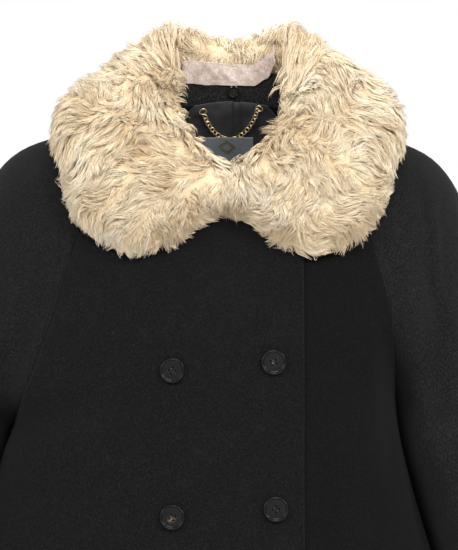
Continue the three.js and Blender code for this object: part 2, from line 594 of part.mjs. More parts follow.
const circle = (radius, sides) => new THREE.Shape(
  Array.from({ length: sides }, (_, i) => new THREE.Vector2(
    radius * Math.cos((2 * Math.PI * i) / sides), radius * Math.sin((2 * Math.PI * i) / sides))));
const chainLine = new THREE.CatmullRomCurve3(steps(0, 1, 12).map(chainPoint));
const chainTube = new THREE.ExtrudeGeometry(circle(CHAIN.thick / 2, 8),
  { extrudePath: chainLine, steps: 20 });
add("hang_chain", chainTube, COLOURS.gold, { roughness: 0.3, metalness: 1 });

for (const side of ["right", "left"]) {
  const { x, z } = CHAIN_RING[side];
  const row = solve(0, 3, z, (value) => liningPoint(value, x, CHAIN.lift).z);
  const facing = liningPoint(row, x, CHAIN.lift).sub(liningPoint(row, x, 0)).normalize();
  const torus = new THREE.TorusGeometry(CHAIN_RING.radius, CHAIN_RING.wire, 6, 14);
  const ring = add(`chain_ring_${side}`, torus, COLOURS.gold, { roughness: 0.3, metalness: 1 });
  ring.quaternion.setFromUnitVectors(new THREE.Vector3(0, 0, 1), facing);
  ring.position.copy(liningPoint(row, x, CHAIN.lift));
}

// The satin stand of the fur collar, inside the band at the back and rising over it on the wearer's left.
const standAngles = steps(STAND[0].angle, STAND.at(-1).angle, 16);
function standPoint(angle, share, depth) {
  const side = angle < 0 ? -1 : 1;
  const column = (name) => curveAtAngle(STAND, name, angle);
  const point = bandPoint(side, 180 - Math.abs(angle), mix(column("bottom"), column("top"), share));
  return point.addScaledVector(outwardAt(point), -(WOOL + column("inside") + depth));
}
const standFace = (depth) => steps(0, 1, 4).map((share) =>
  standAngles.map((angle) => standPoint(angle, share, depth)));
add("collar_stand", shell(standFace(0), standFace(SATIN)), COLOURS.satin, { roughness: 0.45 });

// ---------------------------------------------------------------- fur collar

// The coat's surface all round at a row, whichever panel it belongs to, moved out by a distance.
function coatPoint(row, side, turn, distance) {
  const at = (r, t) => folded(outline(ringAt(r, side), t));
  const point = at(row, turn);
  const down = at(row + 0.05, turn).sub(at(row, turn));
  const sideways = at(row, Math.min(turn + 0.5, 180)).sub(at(row, Math.max(turn - 0.5, 0)));
  const normal = down.cross(sideways).normalize();
  if (normal.dot(new THREE.Vector3(point.x, point.y, 60)) < 0) normal.negate();
  return point.addScaledVector(normal, distance + (turn < 90 ? lay(point.x, row) : 0));
}

const UNDERSIDE_STEPS = 8;
const TOP_STEPS = 14;

// One section through the collar: along its underside to the edge, then back over the top to the neck.
function furSection(side, turn) {
  const column = (name) => curveAtAngle(FUR, name, turn);
  const neck = neckPoint(side, turn);
  const out = outwardAt(neck);
  const fromNeck = (outBy, up) => neck.clone().addScaledVector(out, outBy).add(new THREE.Vector3(0, 0, up));
  const reach = column("reach");
  const over = bandHeight(side, turn);
  const foot = 1.2 + (turn < 90 ? lay(neck.x, 0) : 0);
  const underside = steps(0.12, reach * 0.95, UNDERSIDE_STEPS).map((row) =>
    coatPoint(row, side, turn, FUR_SEAT));
  const top = new THREE.CatmullRomCurve3([
    coatPoint(reach, side, turn, column("edge") * 0.35),
    coatPoint(reach * 0.88, side, turn, column("edge")),
    coatPoint(reach * 0.5, side, turn, column("body")),
    fromNeck(column("crestOut"), column("crestUp")),
    fromNeck(-column("throatIn"), Math.max(column("throatUp"), over + 8)),
    fromNeck(-Math.min(column("throatIn"), 2), over + 2.5),
    fromNeck(foot, over + 0.5),
  ]);
  return [...underside, ...top.getPoints(TOP_STEPS), fromNeck(foot, 2)];
}

const furTurns = [0, 5, 10, 16, 22, 29, 37, 47, 58, 70, 82, 94, 106, 118, 130, 142, 154, 167, 180];
const PARTING_X = 1;
function furHalf(side) {
  const sections = furTurns.map((turn) => furSection(side, turn));
  for (const point of sections[0]) {
    if (Math.abs(point.x - PARTING_X) < 4) point.setX(PARTING_X + side * FUR_PARTING);
  }
  return sections;
}
const furSections = [...furHalf(-1), ...furHalf(1).slice(0, -1).reverse()];
add("fur_collar", loft(furSections, UNDERSIDE_STEPS), COLOURS.fur);

// ---------------------------------------------------------------- buttons

// A four-hole button with a raised rim and a dished centre, its axis along Z and its back at z = 0.
function buttonGeometry(radius, height, round) {
  const scale = radius / BUTTON.radius;
  const dish = height - BUTTON.dish * scale;
  const profile = [
    [0, 0], [radius * 0.82, 0], [radius, height * 0.45], [radius * 0.95, height * 0.9],
    [radius - BUTTON.rim * 0.5 * scale, height], [radius - BUTTON.rim * 1.3 * scale, dish], [0, dish],
  ].map(([x, y]) => new THREE.Vector2(x, y));
  let solid = solidOf(new THREE.LatheGeometry(profile, round));
  if (solid.volume() < 0) throw new Error("the button's profile turns the wrong way");
  for (let k = 0; k < 4; k++) {
    const hole = new THREE.CylinderGeometry(BUTTON.hole * scale, BUTTON.hole * scale, height * 3, 6);
    const angle = Math.PI / 4 + (k * Math.PI) / 2;
    hole.translate(BUTTON.holeOut * scale * Math.cos(angle), 0, BUTTON.holeOut * scale * Math.sin(angle));
    solid = solid.subtract(solidOf(hole));
  }
  return geometryOfSolid(solid).rotateX(Math.PI / 2);
}

// Places a button so that its back lies on a point and its face looks along the normal.
function addButton(name, geometry, point, normal) {
  const button = add(name, geometry, COLOURS.horn, { roughness: 0.35 });
  button.quaternion.setFromUnitVectors(new THREE.Vector3(0, 0, 1), normal);
  button.position.copy(point);
}

function upperFrontAt(x, z, distance) {
  const row = solve(5, HEM_ROW, z, (value) => frontPointAtX(value, x).z);
  const down = frontPointAtX(row + 0.06, x).sub(frontPointAtX(row - 0.06, x));
  const sideways = frontPointAtX(row, x + 6).sub(frontPointAtX(row, x - 6));
  const normal = sideways.cross(down).normalize();
  if (normal.y > 0) normal.negate();
  return { point: frontPointAtX(row, x).addScaledVector(normal, lay(x, row) + distance), normal };
}

BUTTON_ROWS.forEach((z, i) => {
  const columns = [
    { name: "right", x: BUTTON_COLUMNS.left, lift: -BUTTON_TILT },
    { name: "left", x: BUTTON_COLUMNS.right + BUTTON_STEP * i, lift: BUTTON_TILT },
  ];
  for (const { name, x, lift } of columns) {
    const { point, normal } = upperFrontAt(x, z + lift, LAY_GAP);
    const geometry = buttonGeometry(BUTTON.radius, BUTTON.height, BUTTON.round);
    addButton(`button_${i + 1}_${name}`, geometry, point, normal);
  }
});

const neckTurn = solve(90, 180, NECK_BUTTON.x, (turn) => -Math.abs(neckPoint(1, turn).x));
const neckSeat = bandPoint(1, neckTurn, NECK_BUTTON.up);
const inwards = outwardAt(neckSeat).negate();
addButton("neck_button", buttonGeometry(NECK_BUTTON.radius, NECK_BUTTON.height, 12),
  neckSeat.addScaledVector(inwards, WOOL + 2 * LAY_GAP), inwards);

export default coat;
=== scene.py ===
"""A black wool cape coat with a cream fur collar, hollow and filled out as if worn.

Objects are in metres. The tables and the functions that place points are in millimetres, with the front
towards -Y and the wearer's left towards +X. Left and right in the names of sizes are as seen from the front;
in the names of pieces they are the wearer's.
"""

import math

import bpy
import numpy as np
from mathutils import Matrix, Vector


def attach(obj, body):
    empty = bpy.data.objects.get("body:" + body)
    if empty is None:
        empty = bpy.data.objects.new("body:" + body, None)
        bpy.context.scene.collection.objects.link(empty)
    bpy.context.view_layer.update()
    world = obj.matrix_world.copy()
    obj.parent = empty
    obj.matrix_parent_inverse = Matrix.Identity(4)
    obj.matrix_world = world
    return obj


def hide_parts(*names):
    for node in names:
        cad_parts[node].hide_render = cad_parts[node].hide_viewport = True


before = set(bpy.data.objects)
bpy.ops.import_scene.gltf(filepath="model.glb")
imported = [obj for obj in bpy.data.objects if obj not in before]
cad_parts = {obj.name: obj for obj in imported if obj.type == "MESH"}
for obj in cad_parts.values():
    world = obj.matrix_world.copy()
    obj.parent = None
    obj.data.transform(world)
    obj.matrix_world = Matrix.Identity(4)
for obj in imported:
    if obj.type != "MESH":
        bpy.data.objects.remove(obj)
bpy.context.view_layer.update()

# ---------------------------------------------------------------- sizes

WOOL, SATIN = 2.5, 1.2  # how thick the two cloths are
SEAM_GAP, LAY_GAP = 0.3, 0.5  # beside a seam, and between two layers
SEAM_SINK, SEAM_REACH, SEAM_BULGE = 1.8, 2.2, 0.3
PARTING_ONSET, BULGE_ROWS = 80, 2  # how soon the bulge starts, and how many rows past the underarm it ends
SIDE_Y = 4.0  # where the fronts pass into the back
BACKWARDS = np.array([0, 1, 0])
SLEEVE_SQUARE = 2.8
SLOT_TOP, SLOT_GROWTH, SLOT_MOST = 0.8, 0.016, 5.0
NEST = dict(depth=9.0, y=26.0, width=36.0, reach=34.0, start=-240.0, stop=-310.0)
OVERLAP_LEFT, OVERLAP_RIGHT, OVERLAP_BLEND = -84.0, 76.0, 62.0
UNDERARM_ROW, CUFF_ROW, HEM_ROW = 9, 13, 15
CREASE_TOP = {-1: -276.0, 1: -182.0}  # where the sleeve starts to part from the body, by side
FOLD_FADE = 55.0  # folds fade out as far as this from the coat's sides
UNEVENNESS = 0.55

BUTTON_RADIUS, BUTTON_HEIGHT = 12.7, 4.6
BUTTON_X = {"right": -55.5, "left": 45.5}
BUTTON_ROWS = (-267, -413, -559)
BUTTON_TILT, BUTTON_STEP = 4, 2
NECK_BUTTON = dict(x=6, up=9, radius=5.6, height=2.4)

BAND_LEAN, BAND_INSET, BAND_TUCK, BAND_START = 0.1, 0.1, 1.5, 1.2  # its start is an angle from the front
LABEL = dict(left=-29, right=27, top=1.32, bottom=2.62, stand=6.6)
LINING_ACROSS, LINING_BOTTOM = 0.7, 4.2
CHAIN_FROM, CHAIN_TO, CHAIN_SAG, CHAIN_LIFT = (-25.5, -9.6), (32.5, -3.5), 27.0, 3.1
CHAIN_RINGS = {"right": (-28.0, -5.5), "left": (35.0, 2.5)}

RING_COLUMNS = ("mid", "z_front", "z_left", "z_right", "z_back", "out_left", "out_right", "seam_left",
                "seam_right", "front", "back", "body_square", "square", "sleeve_front", "sleeve_back")
RING_ROWS = (
    (3, -90, -8, -9, 5, -72, 78, -50, 56, -68, 62, 3, 2.0, -78, 86),  # neckline
    (1, -112, -20, -23, -18, -122, 126, -84, 88, -84, 74, 3, 2.08, -78, 86),
    (-1, -134, -32, -37, -48, -172, 172, -114, 114, -97, 87, 3, 2.16, -78, 86),
    (-3, -157, -48, -56, -84, -214, 210, -140, 133, -109, 99, 3, 2.24, -78, 86),  # shoulder
    (-4, -180, -76, -88, -116, -241, 235, -155, 146, -119, 108, 3.2, 2.32, -78, 86),
    (-4, -203, -122, -130, -150, -258, 248, -164, 155, -127, 115, 3.6, 2.4, -78, 86),
    (-4, -226, -178, -180, -190, -273, 258, -174, 163, -133, 121, 4, 2.48, -80, 88),  # chest
    (-4, -254, -244, -244, -246, -290, 268, -190, 168, -138, 126, 4.2, 2.52, -81, 89),
    (-4, -300, -300, -300, -300, -308, 280, -208, 171, -142, 131, 4.3, 2.52, -92, 86),
    (-5, -346, -346, -346, -346, -325, 293, -226, 177, -146, 135, 4.2, 2.5, -106, 77),  # underarm
    (-6, -400, -400, -400, -400, -341, 308, -243, 191, -151, 141, 3.5, 2.46, -106, 74),
    (-7, -470, -470, -470, -470, -357, 328, -264, 213, -158, 149, 2.9, 2.42, -102, 70),
    (-8, -536, -536, -536, -536, -369, 345, -282, 236, -165, 158, 2.6, 2.38, -97, 66),  # hip
    (-8, -600, -600, -600, -600, -378, 357, -295, 256, -172, 167, 2.45, 2.36, -92, 62),  # cuff
    (-8, -680, -680, -680, -680, -386, 370, -308, 279, -181, 178, 2.36, 2.34, -62, 66),
    (-8, -765, -765, -765, -765, -392, 382, -318, 300, -190, 189, 2.32, 2.32, -60, 64),  # hem
)
RINGS = dict(zip(RING_COLUMNS, np.array(RING_ROWS, float).T))

# face, x1, z1, x2, z2, width, depth: troughs are positive, ridges negative.
FOLDS = (
    (-1, -192, -170, -240, -330, 13, 8), (-1, -212, -180, -264, -345, 15, -5),
    (-1, 158, -165, 165, -345, 12, 9), (-1, 178, -125, 187, -350, 13, -6),
    (-1, 182, -240, 272, -600, 24, -12), (-1, -222, -250, -315, -560, 24, -11),
    (-1, 212, -120, 214, -300, 9, 4),
    (-1, 236, -200, 246, -420, 16, -4), (-1, -150, -430, -192, -780, 26, 9),
    (-1, -205, -470, -252, -780, 24, -8), (-1, 122, -440, 160, -780, 25, 8),
    (-1, 170, -480, 222, -780, 22, -8), (1, -10, -360, -14, -780, 30, 10),
    (1, -70, -400, -92, -780, 30, -9), (1, 66, -380, 82, -780, 28, -8),
    (1, -132, -330, -170, -780, 26, 11), (1, 118, -350, 158, -780, 27, 10),
    (1, 142, -190, 148, -335, 15, 6), (1, -148, -200, -178, -335, 15, 6),
)
# Smaller creases of the cloth, in the same columns.
CREASES = (
    (-1, 94, -130, 97, -780, 15, 3.6), (-1, 118, -150, 130, -620, 24, -2.6),
    (-1, 206, -52, 212, -175, 4.5, -4.2), (-1, 198, -60, 204, -190, 6, 3.0),
    (-1, -170, -140, -232, -345, 9, 5.0),
    (-1, 222, -150, 232, -260, 8, -2.0), (-1, 178, -300, 172, -180, 9, 1.4),
    (-1, -196, -330, -226, -262, 6, -1.6), (-1, -216, -262, -236, -318, 7, 1.8),
    (-1, -150, -250, -176, -300, 12, 1.6), (-1, 120, -250, 148, -330, 14, 1.6),
    (-1, 60, -180, 96, -330, 20, -1.5), (-1, -96, -190, -120, -420, 22, -1.6),
    (-1, 96, -330, 120, -520, 18, -1.8), (-1, -238, -420, -262, -330, 9, 2.2),
    (-1, 255, -330, 290, -440, 10, 1.8), (-1, 270, -560, 300, -430, 10, -1.8),
    (-1, -300, -430, -322, -560, 10, 1.6), (-1, -60, -560, -78, -780, 18, 2.6),
    (-1, 20, -600, 30, -780, 18, -2.2), (1, -96, -250, -60, -330, 15, 1.8),
    (1, 92, -240, 70, -340, 15, 1.6), (1, -20, -120, -26, -300, 14, 1.4),
    (1, 205, -180, 232, -330, 9, 2.2), (1, -226, -190, -256, -330, 9, 2.2),
    (1, 280, -540, 262, -420, 10, 1.8), (1, -318, -560, -290, -430, 10, 1.8),
    (1, 30, -520, 36, -780, 16, 2.4), (1, -214, -520, -238, -780, 18, -4.0),
    (1, 205, -500, 236, -780, 18, -4.0),
)

BAND_COLUMNS = ("angle", "left", "right")
BAND_ROWS = ((0, 8, 8), (60, 8, 9), (95, 9, 14), (120, 20, 36), (145, 28, 34), (180, 30, 30))
BAND = dict(zip(BAND_COLUMNS, np.array(BAND_ROWS, float).T))

FUR_COLUMNS = ("angle", "reach", "edge", "body", "throat_up", "throat_in", "crest_up", "crest_out")
FUR_ROWS = (
    (0, 1.35, 27, 34, 24, 1, 26, 20), (6, 1.7, 29, 37, 27, 1, 29, 22),
    (12, 2.75, 31, 40, 31, 2, 32, 24), (20, 3.8, 34, 44, 36, 2, 36, 26),
    (36, 3.6, 35, 48, 38, 5, 40, 26), (60, 2.55, 36, 52, 27, 15, 54, 20),
    (84, 2.2, 35, 56, 28, 26, 67, 14), (108, 2.15, 35, 56, 38, 22, 81, 10),
    (130, 2.15, 33, 53, 54, 3, 88, 10), (150, 2.15, 32, 50, 56, 2, 80, 12),
    (180, 2.3, 30, 46, 50, 2, 64, 16),
)
FUR = dict(zip(FUR_COLUMNS, np.array(FUR_ROWS, float).T))
FUR_SEAT, FUR_PARTING, PARTING_X = 1.6, 0.8, 1.0

STAND_COLUMNS = ("angle", "bottom", "top", "inside")
STAND_ROWS = ((-52, 26, 49, 3), (-40, 23, 47, 0.5), (-20, 18, 42, 0.5), (0, 16, 38, 0.5), (20, 17, 39, 0.5),
              (34, 27, 49, 1.5), (50, 46, 66, 6))
STAND = dict(zip(STAND_COLUMNS, np.array(STAND_ROWS, float).T))

# ---------------------------------------------------------------- small helpers


def mix(a, b, t):
    return a + (b - a) * t


def clamp(t, low=0.0, high=1.0):
    return np.clip(t, low, high)


def smooth(t):
    t = clamp(t)
    return t * t * (3 - 2 * t)


def curve(values, place):
    """A value between rows of a table, on a smooth curve through the rows."""
    last = len(values) - 1
    place = np.asarray(place, float)
    i = np.clip(np.floor(place), 0, last - 1).astype(int)
    t = place - i
    a = np.where(i > 0, values[np.maximum(i - 1, 0)], 2 * values[0] - values[1])
    b, c, d = values[i], values[i + 1], values[np.minimum(i + 2, last)]
    return b + 0.5 * t * (c - a + t * (2 * a - 5 * b + 4 * c - d + t * (3 * (b - c) + d - a)))


def at_angle(table, column, angle):
    angles = table["angle"]
    i = np.clip(np.searchsorted(angles, angle, side="left") - 1, 0, len(angles) - 2)
    t = clamp((angle - angles[i]) / (angles[i + 1] - angles[i]))
    return mix(table[column][i], table[column][i + 1], smooth(t) * 0.5 + t * 0.5)


def solve(low, high, target, value):
    """Where a steadily rising or falling function takes a target value."""
    low, high = np.broadcast_arrays(np.asarray(low, float) + 0 * target, np.asarray(high, float) + 0 * target)
    rising = value(high) > value(low)
    for _ in range(26):
        middle = (low + high) / 2
        over = (value(middle) > target) == rising
        low, high = np.where(over, low, middle), np.where(over, middle, high)
    return (low + high) / 2


def unit(v):
    return v / np.maximum(np.linalg.norm(v, axis=-1, keepdims=True), 1e-9)


def point(x, y, z):
    return np.stack(np.broadcast_arrays(x, y, z), axis=-1)


def normal_towards(down, across, away):
    """The normal of a surface from two directions along it, on the side that away looks to."""
    normal = unit(np.cross(down, across))
    return np.where((normal * away).sum(-1, keepdims=True) < 0, -normal, normal)


# ---------------------------------------------------------------- the coat's outer surface


def ring_at(row, side):
    """The row of RINGS at one side, as z, out and seam of that side beside what both sides share."""
    own = "_left" if side < 0 else "_right"
    other = "_right" if side < 0 else "_left"
    return {column.removesuffix(own): curve(RINGS[column], row)
            for column in RING_COLUMNS if not column.endswith(other)}


def outline(ring, turn):
    """A point of the whole coat's outline, by its turn from the front in degrees."""
    s, c = np.sin(np.radians(turn)), np.cos(np.radians(turn))
    depth = np.where(c > 0, ring["front"], ring["back"]) - SIDE_Y
    height = np.where(c > 0, ring["z_front"], ring["z_back"])
    power = 2 / ring["square"]
    return point(ring["mid"] + (ring["out"] - ring["mid"]) * np.abs(s) ** power,
                 SIDE_Y + depth * np.abs(c) ** power, mix(ring["z"], height, c * c))


def parting(row, side):
    """How far the sleeve has parted from the body at a row: 0 for one surface, 1 for two tubes."""
    z = curve(RINGS["z_left" if side < 0 else "z_right"], row)
    top = CREASE_TOP[side]
    share = clamp((top - z) / (top - RINGS["z_left"][UNDERARM_ROW]))
    return np.where(row >= UNDERARM_ROW, 1.0, share ** 3 * (4 - 3 * share))


def seam_turn(ring, face):
    """The turn at which the raglan seam lies, on the front (-1) or the back (1)."""
    share = (ring["seam"] - ring["mid"]) / (ring["out"] - ring["mid"])
    turn = np.degrees(np.arcsin(clamp(share) ** (ring["square"] / 2)))
    return turn if face < 0 else 180 - turn


def face_of(points):
    """The side of the coat a point is on, -1 for the front, and how fully it faces that way."""
    return np.where(points[..., 1] < SIDE_Y, -1, 1), smooth(np.abs(points[..., 1] - SIDE_Y) / FOLD_FADE)


def folded(points, table=FOLDS):
    points = points.copy()
    face, facing = face_of(points)
    moved = np.zeros(points.shape[:-1])
    for side, x1, z1, x2, z2, width, depth in table:
        dx, dz = x2 - x1, z2 - z1
        along = ((points[..., 0] - x1) * dx + (points[..., 2] - z1) * dz) / (dx * dx + dz * dz)
        away = np.hypot(points[..., 0] - x1 - along * dx, points[..., 2] - z1 - along * dz)
        strength = smooth(along * 1.6) * smooth((1.25 - along) * 4)
        moved += np.where(face == side, strength * depth * np.exp(-((away / width) ** 2)), 0)
    points[..., 1] -= face * facing * moved
    return points


def creased(points):
    """Small creases and the cloth's slight unevenness, on top of the large folds."""
    points = folded(points, CREASES)
    x, z = points[..., 0], points[..., 2]
    face, facing = face_of(points)
    below_collar = smooth((-z - 60) / 160)
    wave = (np.sin(x / 31 + 1.3 * np.sin(z / 83)) * np.sin(z / 67 + 0.9 * np.sin(x / 71 + 2))
            + 0.6 * np.sin(x / 17 + 2.1 * np.sin(z / 59 + 1)) * np.sin(z / 41 + x / 90))
    points[..., 1] += face * facing * below_collar * wave * UNEVENNESS
    return points


def nested(points, side, seam):
    """The sleeve's inner side swells into a shallow hollow of the body's side, behind its middle."""
    share = smooth((NEST["start"] - points[..., 2]) / (NEST["start"] - NEST["stop"]))
    near = np.exp(-((points[..., 1] - NEST["y"]) / NEST["width"]) ** 2
                  - ((points[..., 0] - seam) / NEST["reach"]) ** 2)
    points[..., 0] -= side * share * NEST["depth"] * near
    return points


def body_point(row, side, face, across):
    """A point of the body, by how far across it lies from the middle line (0) to the seam (1)."""
    ring = ring_at(row, side)
    centre = 0 if face < 0 else 180
    whole = outline(ring, mix(centre, seam_turn(ring, face), across))
    angle = across * math.pi / 2
    depth = (ring["front"] if face < 0 else ring["back"]) - SIDE_Y
    power = 2 / ring["body_square"]
    tube = point(ring["mid"] + (ring["seam"] - ring["mid"]) * np.sin(angle) ** power,
                 SIDE_Y + depth * np.abs(np.cos(angle)) ** power, whole[..., 2])
    return nested(folded(mix(whole, tube, parting(row, side)[..., None])), side, ring["seam"])


def seam_sink(row, side):
    """How deep a sewn edge lies. Where the sleeve parts from the body, the edges bulge and touch instead."""
    onset = smooth(PARTING_ONSET * parting(row, side))
    ending = 1 - smooth((row - UNDERARM_ROW) / BULGE_ROWS)
    flush = np.where(row < UNDERARM_ROW, onset, ending)
    return SEAM_SINK * (1 - (1 + SEAM_BULGE) * flush)


def grooved(grid, normals, rows, *edges):
    """Sinks a panel along its sewn edges, each the first or last column and a side of the coat."""
    for edge, side in edges:
        away = np.cumsum(np.linalg.norm(np.diff(grid, axis=1), axis=-1), axis=1)
        away = np.concatenate([np.zeros((grid.shape[0], 1)), away], axis=1)
        if edge < 0:
            away = away[:, -1:] - away
        grid = grid - normals * (seam_sink(rows, side) * np.exp(-((away / SEAM_REACH) ** 2)))[..., None]
    return grid


def body_width(row, side, face):
    """How far a body point lies from the middle, as a function of across."""
    ring = ring_at(row, side)
    turn, parted = seam_turn(ring, face), parting(row, side)
    wide, seam = np.abs(ring["out"] - ring["mid"]), np.abs(ring["seam"] - ring["mid"])
    share = turn if face < 0 else 180 - turn

    def width(across):
        whole = wide * np.sin(np.radians(share * across)) ** (2 / ring["square"])
        tube = seam * np.sin(across * math.pi / 2) ** (2 / ring["body_square"])
        return mix(whole, tube, parted)

    return width


def sleeve_point(row, side, around):
    """A point of a sleeve, by how far around it lies from the front seam (0) to the back seam (1)."""
    ring = ring_at(row, side)
    whole = outline(ring, mix(seam_turn(ring, -1), seam_turn(ring, 1), around))
    slot = clamp(SLOT_TOP + SLOT_GROWTH * (RINGS["z_left"][UNDERARM_ROW] - ring["z"]), SLOT_TOP, SLOT_MOST)
    inner = ring["seam"] + side * slot
    angle = around * 2 * math.pi
    depth = np.where(around < 0.5, ring["sleeve_front"], ring["sleeve_back"]) - SIDE_Y
    cosine = np.cos(angle)
    swing = np.sign(cosine) * np.abs(cosine) ** (2 / SLEEVE_SQUARE)
    tube = point((inner + ring["out"]) / 2 - (ring["out"] - inner) / 2 * swing,
                 SIDE_Y + depth * np.abs(np.sin(angle)) ** (2 / SLEEVE_SQUARE), whole[..., 2])
    return nested(folded(mix(whole, tube, parting(row, side)[..., None])), side, ring["seam"])


def across_at(row, side, x, face=-1):
    return solve(0.0, 1.0, np.abs(x - curve(RINGS["mid"], row)), body_width(row, side, face))


def point_at_x(row, x, face=-1):
    row, x = np.broadcast_arrays(np.asarray(row, float), np.asarray(x, float))
    found = np.zeros(row.shape + (3,))
    to_left = x < curve(RINGS["mid"], row)
    for side, chosen in ((-1, to_left), (1, ~to_left)):
        if chosen.any():
            found[chosen] = body_point(row[chosen], side, face, across_at(row[chosen], side, x[chosen], face))
    return found


def overlap_edge(row, edge):
    """The x of a front's free edge, which curves in towards the neck."""
    return mix(math.copysign(12, edge) + 3, edge, smooth(row / 2.2))


def lay(x, row):
    """How far the upper front lies off the coat's surface, over the lower front."""
    edge = overlap_edge(row, OVERLAP_LEFT)
    start = np.maximum(edge - OVERLAP_BLEND, ring_at(row, -1)["seam"] + 4)
    return (WOOL + LAY_GAP) * smooth((x - start) / (edge - start))


# ---------------------------------------------------------------- meshes


def new_object(name, vertices, faces, smooth_shading=True, attributes=None):
    """vertices in millimetres, faces an array of quads or triangles or a list of mixed ones."""
    mesh = bpy.data.meshes.new(name)
    vertices = np.asarray(vertices, np.float32).reshape(-1, 3) / 1000
    if isinstance(faces, list):
        sizes = np.array([len(face) for face in faces])
        corners = np.concatenate([np.asarray(face) for face in faces])
    else:
        sizes = np.full(len(faces), faces.shape[1])
        corners = faces.reshape(-1)
    mesh.vertices.add(len(vertices))
    mesh.vertices.foreach_set("co", vertices.ravel())
    mesh.loops.add(len(corners))
    mesh.loops.foreach_set("vertex_index", corners.astype(np.int32))
    mesh.polygons.add(len(sizes))
    mesh.polygons.foreach_set("loop_start", (np.cumsum(sizes) - sizes).astype(np.int32))
    mesh.polygons.foreach_set("use_smooth", np.full(len(sizes), smooth_shading))
    mesh.update(calc_edges=True)
    for key, values in (attributes or {}).items():
        kind, field = ("FLOAT_VECTOR", "vector") if values.ndim > 1 else ("FLOAT", "value")
        mesh.attributes.new(key, kind, "POINT").data.foreach_set(field, values.astype(np.float32).ravel())
    made = bpy.data.objects.new(name, mesh)
    bpy.context.collection.objects.link(made)
    return made


def facing_out(vertices, faces):
    """Turns all faces of a closed mesh outwards."""
    a, b, c = (vertices[faces[:, k]] for k in range(3))
    volume = np.einsum("ij,ij->i", a, np.cross(b, c)).sum()
    if faces.shape[1] == 4:
        volume += np.einsum("ij,ij->i", a, np.cross(c, vertices[faces[:, 3]])).sum()
    return faces if volume > 0 else faces[:, ::-1]


def grid_normals(grid):
    return unit(np.cross(np.gradient(grid, axis=1, edge_order=2), np.gradient(grid, axis=0, edge_order=2)))


def pulled_in(grid, distance):
    """A grid whose border is moved inwards by a distance, so that a rounded rim can close it."""
    grid = grid.copy()
    for line, following in ((0, 1), (-1, -2)):
        grid[line] += unit(grid[following] - grid[line]) * distance
        grid[:, line] += unit(grid[:, following] - grid[:, line]) * distance
    return grid


def sample(grid, v, u):
    """A grid of numbers or points at fractional rows v and columns u."""
    v, u = clamp(v, 0, grid.shape[0] - 1.001), clamp(u, 0, grid.shape[1] - 1.001)
    i, j = v.astype(int), u.astype(int)
    s, t = v - i, u - j
    if grid.ndim == 3:
        s, t = s[..., None], t[..., None]
    return mix(mix(grid[i, j], grid[i, j + 1], t), mix(grid[i + 1, j], grid[i + 1, j + 1], t), s)


def border(rows, columns):
    """The indices of a grid's border, going round once."""
    index = np.arange(rows * columns).reshape(rows, columns)
    return np.concatenate([index[0, :-1], index[:-1, -1], index[-1, :0:-1], index[:0:-1, 0]])


def sheet_mesh(name, grid, normals, thickness, gap=SEAM_GAP / 2):
    """Closed cloth with a rounded rim. grid is its outer face, and it is as thick as thickness inwards."""
    rows, columns = grid.shape[:2]
    rim = pulled_in(grid, gap + 0.05)
    shoulder = pulled_in(rim, thickness * 0.13)
    outer = pulled_in(rim, thickness * 0.45)
    inner = outer - normals * thickness
    bands = [line - normals * (thickness * deep)
             for line, deep in ((shoulder, 0.2), (rim, 0.5), (shoulder, 0.8))]
    ring = border(rows, columns)
    count, turn = rows * columns, len(ring)
    vertices = np.concatenate([outer.reshape(-1, 3), inner.reshape(-1, 3)]
                              + [band.reshape(-1, 3)[ring] for band in bands])
    index = np.arange(count).reshape(rows, columns)
    top = np.stack([index[:-1, :-1], index[:-1, 1:], index[1:, 1:], index[1:, :-1]], -1).reshape(-1, 4)
    faces = [top, top[:, ::-1] + count]
    loops = [ring] + [2 * count + k * turn + np.arange(turn) for k in range(3)] + [ring + count]
    for upper, lower in zip(loops, loops[1:]):
        faces.append(np.stack([upper, lower, np.roll(lower, -1), np.roll(upper, -1)], -1))
    return new_object(name, vertices, facing_out(vertices, np.concatenate(faces)))


def round_path(centre, first, second, count):
    """Points of an ellipse round a centre, from its two half axes."""
    angle = np.arange(count) * 2 * math.pi / count
    return centre + np.cos(angle)[:, None] * first + np.sin(angle)[:, None] * second


SKEW_AXIS = np.array([0.31, 0.52, 0.79])  # no wire of the coat runs along it


def tube_arrays(path, radius, sides=8, closed=False):
    """A round wire along a path, with capped ends unless it is closed."""
    tangent = unit(np.roll(path, -1, 0) - np.roll(path, 1, 0) if closed else np.gradient(path, axis=0))
    across = unit(np.cross(tangent, SKEW_AXIS))
    up = np.cross(tangent, across)
    rings = np.stack([round_path(*frame_at, sides) for frame_at in zip(path, radius * across, radius * up)])
    index = np.arange(len(path) * sides).reshape(len(path), sides)
    following = np.roll(index, -1, 0) if closed else index[1:]
    start = index if closed else index[:-1]
    quads = np.stack([start, np.roll(start, -1, 1), np.roll(following, -1, 1), following], -1).reshape(-1, 4)
    faces = [list(face) for face in quads]
    if not closed:
        faces += [list(index[0, ::-1]), list(index[-1])]
    return rings.reshape(-1, 3), faces


def joined(parts):
    """Several (vertices, faces) as one."""
    vertices, faces, start = [], [], 0
    for part_vertices, part_faces in parts:
        vertices.append(np.asarray(part_vertices))
        faces += [[int(k) + start for k in face] for face in part_faces]
        start += len(part_vertices)
    return np.concatenate(vertices), faces


def finish_piece(piece, material, slot, *nodes):
    piece.data.materials.append(material)
    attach(piece, "root")
    if nodes:
        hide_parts(*nodes)
    return piece


# ---------------------------------------------------------------- materials


